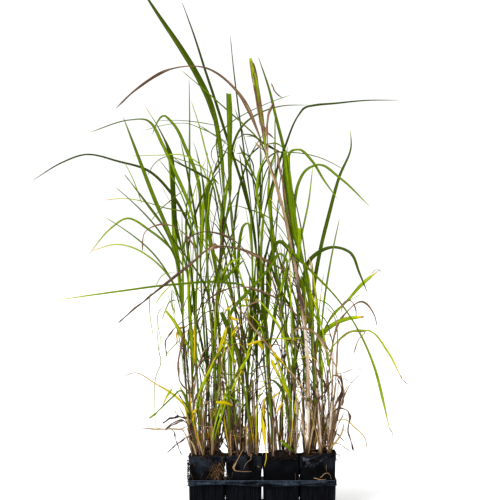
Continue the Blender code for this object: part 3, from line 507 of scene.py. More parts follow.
# The collar's section, up its outside and down inside the mouth: heights, and how far out from the wall
COLLAR_SECTION = (
    (COLLAR_Z, 0.0006), (COLLAR_Z + 0.0012, COLLAR_STEP), (0.120, COLLAR_STEP), (0.1245, COLLAR_STEP),
    (0.1260, COLLAR_STEP + 0.0008), (0.1285, COLLAR_STEP + 0.0009), (POT_TOP, COLLAR_STEP + 0.0002),
    (POT_TOP, -0.0004), (0.1280, -POT_WALL),
)
# Where a pot has rings down its inside, over its floor
INSIDE_HEIGHTS = (0.122, 0.114, 0.104)
DENT_DEPTH = 0.0012
# The walls are dented from the first of these heights up, and fully from the second
DENTED_FROM, DENTED_TO = 0.070, 0.120
# A crushed pot's mouth is raised from this height up
CRUSHED_FROM = 0.10
# How far the left and the right wall of each pot bulge, and from which height up
POT_BULGES = (
    ((0.0, 0.09), (0.0030, 0.100)), ((0.0014, 0.090), (0.0030, 0.092)), ((0.0030, 0.092), (0.0034, 0.074)),
    ((0.0034, 0.074), (0.0, 0.09)),
)
# How much dust and painted sheen each pot has near its mouth: the grey-blue on the upper walls is partly dust
# and partly painted sheen where they catch the light
POT_DUST_AND_SHEEN = (0.75, 0.70, 0.12, 0.35)
# How much higher the right-hand side of the last pot's mouth stands since it was crushed
CRUSHED_RISE = 0.0085


def pot_width(z):
    """A pot's outer width at a height, without its collar."""
    return POT_FOOT + (POT_MOUTH - POT_FOOT) * (z - POT_FOOT_Z) / (POT_TOP - POT_FOOT_Z)


def pot_shell(number, centre, crush=0.0):
    """A pot as one closed skin: floor, outer wall, collar, mouth and the inside down to the compost."""
    seed = 7.3 * number

    def ring(z, extra, inside=False):
        spots, ways, along = rounded_square(pot_width(z) + 2 * extra, POT_ROUNDING, 20, 6)
        made = flat_ring(spots, z, centre)
        for index, (spot, way) in enumerate(zip(spots, ways)):
            middle = max(0.0, 1 - min(1, abs(along[index])) ** 3)
            dent = DENT_DEPTH * (rough((*spot, z), 30, seed) + 0.4 * rough((*spot, z), 75, seed))
            high = min(1.0, max(0.0, (z - DENTED_FROM) / (DENTED_TO - DENTED_FROM)))
            bulge, over = POT_BULGES[number - 1][0 if way[0] < 0 else 1]
            risen = min(1.0, max(0.0, (z - over) / 0.008)) * abs(way[0]) ** 2
            room = (POT_PITCH - pot_width(z)) / 2 - extra - WALL_GAP
            push = dent * (0.3 + 0.7 * middle) * high - (0.0003 if inside else 0)
            push = min(push + bulge * risen, room) if abs(way[0]) > 0.7 else push
            made[index, :2] += way * push
            if crush and z > CRUSHED_FROM:
                right = min(1.0, max(0.0, (spot[0] + 0.012) / 0.045))
                share = (z - CRUSHED_FROM) / (POT_TOP - CRUSHED_FROM)
                made[index, 2] += crush * share * right * right * (3 - 2 * right)
        return made

    wall_foot = POT_FOOT_Z + 0.0015
    floor_top = POT_FOOT_Z + POT_WALL
    rings = [ring(POT_FOOT_Z, -0.03), ring(POT_FOOT_Z, -0.0015)]
    rings += [ring(z, 0.0) for z in np.linspace(wall_foot, COLLAR_Z - 0.0020, 18)]
    rings += [ring(z, extra) for z, extra in COLLAR_SECTION]
    rings += [ring(z, -POT_WALL, inside=True) for z in (*INSIDE_HEIGHTS, floor_top)]
    rings += [ring(floor_top, -0.03), rings[0]]
    return lofted(rings)


for number, centre in enumerate(POT_CENTRES, start=1):
    crush = CRUSHED_RISE if number == 4 else 0.0
    pot_plastic = black_plastic(
        f"pot_plastic_{number}", "#39404d", POT_DUST_AND_SHEEN[number - 1], (0.078, 0.112), 0.40
    )
    pot = mesh_object(f"square_pot_{number}", *pot_shell(number, centre, crush), pot_plastic)
    pot.data.set_sharp_from_angle(angle=math.radians(50))
    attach(pot, "root")
    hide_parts(f"pot_{number}")

# The crushed mouth's flap: columns and rows of its upper and lower edges, from left to right, and how far the
# lower edge stands out from the pot
FLAP_EDGES = (
    ((301.2, 454.6), (301.4, 462.8), 0.002),
    ((303.5, 455.4), (303.6, 465.2), 0.005),
    ((307.0, 455.6), (307.2, 467.0), 0.007),
    ((310.5, 455.0), (311.3, 466.0), 0.007),
    ((315.0, 453.6), (316.5, 462.6), 0.006),
    ((320.0, 452.4), (321.0, 459.0), 0.004),
    ((326.0, 451.6), (326.5, 456.0), 0.003),
    ((331.5, 451.0), (331.8, 452.6), 0.001),
)


def eased(t, here, there, slope_here, slope_there, gap=1.0):
    """Places on a smooth curve from here to there, at the shares t of the gap between them."""
    return (
        (2 * t**3 - 3 * t**2 + 1) * here
        + (t**3 - 2 * t**2 + t) * gap * slope_here
        + (3 * t**2 - 2 * t**3) * there
        + (t**3 - t**2) * gap * slope_there
    )


def smooth_line(points, count):
    """count points along a smooth curve through points, evenly spread over the stretches between them."""
    points = np.array(points, float)
    slopes = np.gradient(points, axis=0)
    places = np.linspace(0, len(points) - 1 - 1e-9, count)
    first = places.astype(int)
    t = (places - first)[:, None]
    return eased(t, points[first], points[first + 1], slopes[first], slopes[first + 1])


front_face = -(POT_MOUTH / 2 + COLLAR_STEP)
flap_lines = []
for upper, lower, stand in FLAP_EDGES:
    top = np.array((across_row(upper[0]), front_face + 0.0012, up_from_ground(upper[1])))
    low = np.array((across_row(lower[0]), front_face - stand, up_from_ground(lower[1])))
    knee = top * 0.72 + low * 0.28 + np.array((0, -0.55 * stand - 0.0012, 0.0022))
    tuck = low + np.array((0, 0.0022, 0.0030))
    flap_lines.append([top, knee, 0.45 * top + 0.55 * low + np.array((0, -0.3 * stand, 0.0005)), low, tuck])
flap_lines = np.array(flap_lines)
flap_grid = np.stack([smooth_line(flap_lines[:, row], 60) for row in range(5)], axis=1)
flap_grid = np.stack([smooth_line(line, 22) for line in flap_grid])
for line in flap_grid:
    for spot in line:
        spot[1] -= 0.0016 * abs(rough(spot, 120, 4)) + 0.0007 * rough(spot, 300, 2)
thick_grid = np.concatenate([flap_grid, flap_grid[:, ::-1] + np.array((0, 0.0008, 0))], axis=1)
# Where the flap has painted highlights, grey patches for light caught on its fold: column and row of the
# middle, how far it reaches in pixels, and how much
FLAP_HIGHLIGHTS = (
    ((303.6, 457.4), 1.9, 0.7), ((306.8, 459.6), 2.3, 0.9), ((305.4, 462.6), 2.0, 0.7),
    ((309.4, 463.4), 1.6, 0.4), ((313.0, 464.6), 1.1, 0.5), ((316.6, 461.6), 1.0, 0.5),
    ((320.4, 458.6), 1.0, 0.4), ((325.4, 455.4), 1.0, 0.3),
)
# The flap's pale grey is painted highlight, laid on by the attribute set below
flap_plastic = black_plastic("flap_plastic", "#7d8494", "painted_highlight", (0.100, 0.112), 0.30, 95.0)
flap = mesh_object("folded_mouth", *lofted(thick_grid, caps=True), flap_plastic)
painted_highlight = flap.data.attributes.new("painted_highlight", "FLOAT", "POINT")
for vertex, shown in zip(flap.data.vertices, painted_highlight.data):
    place = np.array((MIDDLE_COLUMN + vertex.co.x / PIXEL, GROUND_ROW - vertex.co.z / PIXEL))
    highlight_shares = [much * math.exp(-(math.dist(place, spot) / far) ** 2) for spot, far, much in FLAP_HIGHLIGHTS]
    shown.value = 0.06 + max(highlight_shares)
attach(flap, "root")


# ---- Roots and scraps on the pots -----------------------------------------------------------------------
# Thin brown roots have grown out over the pots and dried there: a mat on the left-hand pot, single strands on
# the others. A tan dead leaf hangs bent over the front of the second pot.

# Colours of the roots and of dead leaves, with their places on the grain
BROWN_ROOT = ((0.38, "#120c07"), (0.72, "#6a4a2c"))
STRAW_ROOT = ((0.35, "#6a4f36"), (0.7, "#bc9a70"))

root_material, root_tree, root_shader = new_material("dry_root")
root_grain = add_node(root_tree, "ShaderNodeTexNoise", {"Scale": 150.0, "Detail": 5.0}).outputs["Fac"]
root_ramp = add_node(root_tree, "ShaderNodeValToRGB", {"Fac": root_grain})
paint_ramp(root_ramp, BROWN_ROOT)
fill(root_tree, root_shader, {
    "Base Color": root_ramp.outputs["Color"],
    "Normal": relief(root_tree, root_grain, 0.5, 0.0005),
    "Roughness": 0.85,
    "Specular IOR Level": 0.15,
})


def pot_front(row):
    """How far forward the front of the pots is at a row of the photograph, over the collar's thickness."""
    return -(pot_width(min(POT_TOP, up_from_ground(row))) / 2 + COLLAR_STEP)


def unit(vectors):
    """The same vectors with a length of one."""
    return vectors / np.maximum(np.linalg.norm(vectors, axis=1), 1e-9)[:, None]


ROOT_SIDES = 6


def strand(line, girth):
    """A round root along a line of places, drawn out to a point at its end."""
    along = unit(np.gradient(line, axis=0))
    aside = unit(np.cross(along, (0.0, 1.0, 0.0)))
    rise = np.cross(aside, along)
    thin = girth / 2 * (1 - 0.75 * np.linspace(0, 1, len(line)) ** 2)
    rings = []
    for turn in np.arange(ROOT_SIDES) * math.tau / ROOT_SIDES:
        rings.append(line + thin[:, None] * (math.cos(turn) * aside + math.sin(turn) * rise))
    return lofted(np.stack(rings, axis=1), caps=True)


def root_over_pot(points, girth, stand=0.0012, wander=0.0008, seed=0):
    """A root through columns and rows of the photograph, lying close over the front of the pots."""
    spots = [seen_at(column, row, pot_front(row) - stand) for column, row in points]
    spots = smooth_line(spots, 12 * len(points))
    for index, spot in enumerate(spots):
        spot += wander * np.array([rough((seed, index * 0.9, axis * 5.0), 0.35, seed) for axis in range(3)])
    return strand(spots, girth)


# Roots by columns and rows, with their girth: on the left-hand pot, between it and the next, and on the lip
BROWN_ROOTS = (
    (((200, 456.5), (204, 457.6), (207, 460), (210.5, 460.6), (213, 463), (216, 466)), 0.0016),
    (((210.5, 472.8), (208.6, 475), (207, 477.6), (205.8, 480)), 0.0015),
    (((193.5, 463.5), (194.6, 465.5), (193.8, 468.2)), 0.0012),
    (((190.6, 473), (191.6, 476), (193.4, 480.5)), 0.0022),
    (((203.5, 473), (201, 476), (201.5, 480)), 0.0010),
    (((222.3, 457), (222, 461.5), (223.8, 465.5), (224.8, 470), (224.4, 475)), 0.0018),
    (((226.6, 471.5), (227.4, 474.8), (228.4, 477.6), (229.8, 480.8)), 0.0022),
    (((232.6, 472), (232.2, 475.5), (231, 479.6)), 0.0012),
    (((295.0, 473), (295.6, 478), (295.2, 483.5), (295, 489)), 0.0016),
    (((305.8, 454.8), (309, 455.2), (311.2, 456), (313.6, 455), (316, 453.4)), 0.0012),
    (((335, 454.4), (337.5, 454), (339.4, 455), (339.2, 458), (340, 462.4)), 0.0018),
    (((336, 458.6), (338, 461.4), (338.6, 463.6)), 0.0016),
)
STRAW_ROOTS = (
    (((251.8, 453.6), (251, 456.6), (250.8, 459.2), (247.8, 461.8), (245.2, 465), (243.6, 469.4)), 0.0013),
    (((314, 478.3), (316.5, 478.5), (319.5, 479.5), (322.5, 479.6), (326, 479.4)), 0.0022),
    (((319.7, 479.5), (318.6, 482.4), (315.8, 485.5)), 0.0020),
    (((320, 477.6), (321.6, 476.6), (324.5, 473.9), (327.6, 473.2), (330, 475), (331.4, 479.8)), 0.0016),
    (((257.4, 466), (259.2, 467.4)), 0.0014),
    (((326.4, 465), (326.2, 468), (326.6, 472)), 0.0008),
)
# The mat of roots on the left-hand pot: its columns and rows, how many roots it has and how many are pale
MAT_LEFT, MAT_RIGHT, MAT_TOP, MAT_BOTTOM = 211.0, 223.6, 462.5, 481.5
MAT_ROOTS = 80
PALE_MAT_ROOTS = 14

rng = np.random.default_rng(12)
mat = []
for index in range(MAT_ROOTS):
    from_column, from_row = rng.uniform(MAT_LEFT + 2, MAT_RIGHT - 3), rng.uniform(MAT_TOP, MAT_TOP + 9)
    to_column = from_column + rng.uniform(-6, 5)
    to_row = min(MAT_BOTTOM, from_row + rng.uniform(6, 18))
    middle = ((from_column + to_column) / 2 + rng.uniform(-3, 3), (from_row + to_row) / 2)
    route = ((from_column, from_row), middle, (to_column, to_row))
    mat.append(root_over_pot(route, rng.uniform(0.0004, 0.0009), rng.uniform(0.0004, 0.0026), 0.0030, index))
strands = [root_over_pot(route, girth, seed=index) for index, (route, girth) in enumerate(BROWN_ROOTS)]
roots = mesh_object("brown_roots", *joined(*mat[PALE_MAT_ROOTS:], *strands), root_material)
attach(roots, "root")

straw_material = root_material.copy()
straw_material.name = "straw_root"
paint_ramp(next(node for node in straw_material.node_tree.nodes if node.type == "VALTORGB"), STRAW_ROOT)
strands = [root_over_pot(route, girth, seed=20 + index) for index, (route, girth) in enumerate(STRAW_ROOTS)]
pale_roots = mesh_object("straw_roots", *joined(*mat[:PALE_MAT_ROOTS], *strands), straw_material)
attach(pale_roots, "root")

# The dead leaf over the second pot: columns, rows and widths from where it hangs over the rim
DEAD_LEAF = (
    ((243.2, 449.4), 0.0016), ((241.0, 453.2), 0.0019), ((238.6, 457.6), 0.0021), ((236.4, 462.0), 0.0027),
    ((234.4, 465.6), 0.0052), ((233.6, 468.0), 0.0048), ((235.4, 470.6), 0.0024), ((240.0, 471.4), 0.0014),
    ((245.5, 471.6), 0.0013), ((251.5, 471.4), 0.0007),
)
# How far the dead leaf hangs in front of the pot, and its places across: how far over, and how far out
LEAF_STAND = 0.0028
LEAF_SECTION = ((-0.5, 0.0), (-0.25, 0.0006), (0.0, -0.0004), (0.25, 0.0006), (0.5, 0.0), (0.0, -0.0010))

leaf_line = smooth_line([seen_at(*place, pot_front(place[1]) - LEAF_STAND) for place, _ in DEAD_LEAF], 70)
leaf_widths = smooth_line([(width, 0) for _, width in DEAD_LEAF], 70)[:, 0]
leaf_across = np.cross(unit(np.gradient(leaf_line, axis=0)), (0.0, 1.0, 0.0))
leaf_rings = []
for place, lift in LEAF_SECTION:
    leaf_rings.append(leaf_line + leaf_across * place * leaf_widths[:, None] + np.array((0, -1.0, 0)) * lift)
dead_leaf = mesh_object("dead_leaf", *lofted(np.stack(leaf_rings, axis=1), caps=True), straw_material)
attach(dead_leaf, "root")


# ---- Compost --------------------------------------------------------------------------------------------
# Dark fibrous potting compost, one plug in each pot. Its top is lumpy and heaped round the stems, with crumbs
# of peat and bark and bits of old root on it.

COMPOST_EDGE = 0.1235
# How far each plug is heaped up round its stems, and towards which side
COMPOST_HEAPS = ((0.019, 0.012), (0.010, -0.010), (0.011, 0.0), (0.014, -0.008))
HEAP_REACH = 0.040
# Half the width that the plug has at its top
PLUG_HALF = 0.041
CRUMBS_PER_POT = 260
CRUMBS_WITHIN = 0.038
CRUMB_SIZES = (0.0007, 0.0034)
SPILLED_SIZES = (0.0006, 0.0021)

compost_material, compost_tree, compost_shader = new_material("damp_compost")
compost_place = add_node(compost_tree, "ShaderNodeTexCoord").outputs["Object"]
crumbs_near = add_node(compost_tree, "ShaderNodeTexVoronoi", {"Vector": compost_place, "Scale": 260.0})
compost_grain = add_node(
    compost_tree,
    "ShaderNodeTexNoise",
    {"Vector": compost_place, "Scale": 190.0, "Detail": 7.0, "Roughness": 0.7},
)
compost_ramp = add_node(compost_tree, "ShaderNodeValToRGB", {"Fac": compost_grain.outputs["Fac"]})
paint_ramp(compost_ramp, ((0.32, "#0b0705"), (0.55, "#1c120b"), (0.78, "#47301d")))
fill(compost_tree, compost_shader, {
    "Base Color": compost_ramp.outputs["Color"],
    "Normal": relief(compost_tree, crumbs_near.outputs["Distance"], 0.8, 0.002),
    "Roughness": 0.95,
    "Specular IOR Level": 0.2,
})


def compost_height(x, y, number):
    """The top of the compost at a place in a pot."""
    centre = POT_CENTRES[number - 1]
    high, aside = COMPOST_HEAPS[number - 1]
    inside = min(1.0, max(abs(y), abs(x - centre)) / PLUG_HALF)
    off = math.hypot(x - centre - aside, 0.7 * y) / HEAP_REACH
    heap = high * math.exp(-(off**2)) * (1 - inside**4)
    place = (x, y, 0)
    lumps = 0.0044 * rough(place, 70, 2) + 0.0030 * rough(place, 180, 6) + 0.0012 * rough(place, 420, 1)
    return COMPOST_EDGE + 0.004 * (1 - inside**4) + heap + lumps * (1.2 - inside**4)


def crumb(place, size, seed):
    """A rough lump: a cube pushed out of shape."""
    corners = [(x, y, z) for x in (-1, 1) for y in (-1, 1) for z in (-1, 1)]
    rng = np.random.default_rng(seed)
    spots = np.array(corners) * size * rng.uniform(0.35, 1.0, (8, 3)) + np.array(place)
    faces = [(0, 1, 3, 2), (4, 6, 7, 5), (0, 4, 5, 1), (2, 3, 7, 6), (0, 2, 6, 4), (1, 5, 7, 3)]
    return list(spots), faces


for number, centre in enumerate(POT_CENTRES, start=1):
    edge, _, _ = rounded_square(pot_width(COMPOST_EDGE) - 2 * POT_WALL - 0.001, 0.007, 20, 5)
    rings = [flat_ring(edge * 0.86, POT_FOOT_Z + POT_WALL + 0.0004, centre), flat_ring(edge, 0.1135, centre)]
    for share in np.linspace(1, 0.02, 24):
        ring = flat_ring(edge * share, 0.0, centre)
        ring[:, 2] = [compost_height(x, y, number) for x, y in ring[:, :2]]
        rings.append(ring)
    rng = np.random.default_rng(40 + number)
    bits = []
    for index in range(CRUMBS_PER_POT):
        x, y = (centre, 0) + rng.uniform(-CRUMBS_WITHIN, CRUMBS_WITHIN, 2)
        size = rng.uniform(*CRUMB_SIZES)
        bits.append(crumb((x, y, compost_height(x, y, number) + 0.3 * size), size, 1000 * number + index))
    plug = mesh_object(f"compost_plug_{number}", *joined(lofted(rings, caps=True), *bits), compost_material)
    plug.data.set_sharp_from_angle(angle=math.radians(55))
    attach(plug, "root")
    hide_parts(f"compost_{number}")


# Compost that was spilled over the rims of the pots, and bits that cling to the left end of the row: the box
# that each heap lies in, and how many crumbs it has
SPILLS = (
    ((0.010, 0.082), (-0.0466, -0.0410), (0.1215, 0.1330), 230),
    ((-0.180, -0.100), (-0.0455, -0.0400), (0.1285, 0.1330), 90),
    ((0.104, 0.130), (-0.0455, -0.0400), (0.1250, 0.1335), 60),
    ((-0.1872, -0.1832), (-0.040, 0.030), (0.0500, 0.1280), 120),
    ((-0.1010, -0.0850), (-0.046, -0.040), (0.0660, 0.1280), 60),
    ((-0.1080, -0.0860), (-0.044, -0.010), (0.1290, 0.1360), 160),
)
spilled = []
for heap, (xs, ys, zs, count) in enumerate(SPILLS):
    rng = np.random.default_rng(300 + heap)
    for index in range(count):
        place = (rng.uniform(*xs), rng.uniform(*ys), rng.triangular(zs[0], sum(zs) / 2, zs[1]))
        spilled.append(crumb(place, rng.uniform(*SPILLED_SIZES), 5000 + 400 * heap + index))
spill = mesh_object("spilled_compost", *joined(*spilled), compost_material)
spill.data.set_sharp_from_angle(angle=math.radians(55))
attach(spill, "root")


# ---- Grass ----------------------------------------------------------------------------------------------
# Each shoot is one jointed stem wrapped in the sheaths of its leaves, with narrow arching blades that have a
# pale midrib. Stems and leaves age from green through yellow and straw to brown, from the foot and the tips.

CM = 0.01
MM = 0.001

# How far a blade has aged at its foot and at its tip, from 0, deep green, to 1, dark brown, how late along
# the blade the change comes, and how much older its edges are
TONES = {
    "deep": (0.04, 0.08, 1.0, 0.04),
    "green": (0.14, 0.20, 1.0, 0.04),
    "mid": (0.24, 0.30, 1.0, 0.05),
    "darkening": (0.27, 0.10, 1.0, 0.05),
    "lightening": (0.16, 0.36, 1.2, 0.05),
    "ripening": (0.18, 0.50, 1.3, 0.05),
    "browning": (0.20, 0.58, 1.5, 0.06),
    "bright": (0.35, 0.41, 1.0, 0.05),
    "lime": (0.44, 0.48, 1.0, 0.05),
    # shaded is painted shade: the blade darkens towards its tip and at its edges, where it turns over and
    # shows its underside
    "shaded": (0.36, 0.10, 4.0, -0.06),
    "olive": (0.18, 0.46, 2.5, 0.05),
    "turning": (0.30, 0.66, 2.0, 0.06),
    "capped": (0.05, 0.90, 9.0, 0.04),
    "bitten": (0.37, 0.90, 14.0, 0.05),
    "gilded": (0.36, 0.66, 7.0, 0.05),
    "greening": (0.58, 0.38, 0.8, 0.06),
    "rusty": (0.41, 0.50, 2.0, 0.36),
    "fading": (0.28, 0.84, 3.0, 0.06),
    "yellow": (0.52, 0.60, 1.0, 0.04),
    "amber": (0.60, 0.63, 1.0, 0.0),
    "cream": (0.72, 0.76, 1.0, 0.05),
    "straw": (0.77, 0.82, 1.0, 0.05),
    "dry": (0.80, 0.84, 1.0, 0.04),
    "hanging": (0.55, 0.88, 1.6, 0.04),
    "scorched": (0.48, 0.92, 2.6, 0.04),
    "pale": (0.22, 0.36, 1.0, 0.02),
    "brown": (0.84, 0.92, 1.0, 0.0),
    "dark": (0.92, 1.00, 1.0, 0.0),
}


def blade(start, route, depth, width, tone, tip=0.9, form=(1,)):
    """A leaf that leaves its stem at height start and goes through the (x, z) points of route, in cm.

    depth is how far its tip lies behind the stem, in cm. width is its greatest width and tip the width of its
    end, in mm: a broken or folded leaf ends broad. form makes it wider or narrower than usual at places
    spread evenly along it.
    """
    return {
        "start": start, "route": route, "depth": depth, "width": width, "tone": tone, "tip": tip,
        "form": form,
    }


def loose(route, depth, width, tone, **more):
    """A withered or broken leaf whose route is whole. One end hangs on what is near, depth is the other's."""
    return blade(None, route, depth, width, tone, **more)


def shoot(name, depth, girth, stem, blades, kind="green", extras=()):
    """A stem through the (x, z) points of stem, at a depth, all in cm, and girth mm across, with its blades.

    extras are thin or broken leaves that are on it too.
    """
    return {
        "name": name, "depth": depth, "girth": girth, "stem": stem, "blades": blades, "kind": kind,
        "extras": extras,
    }


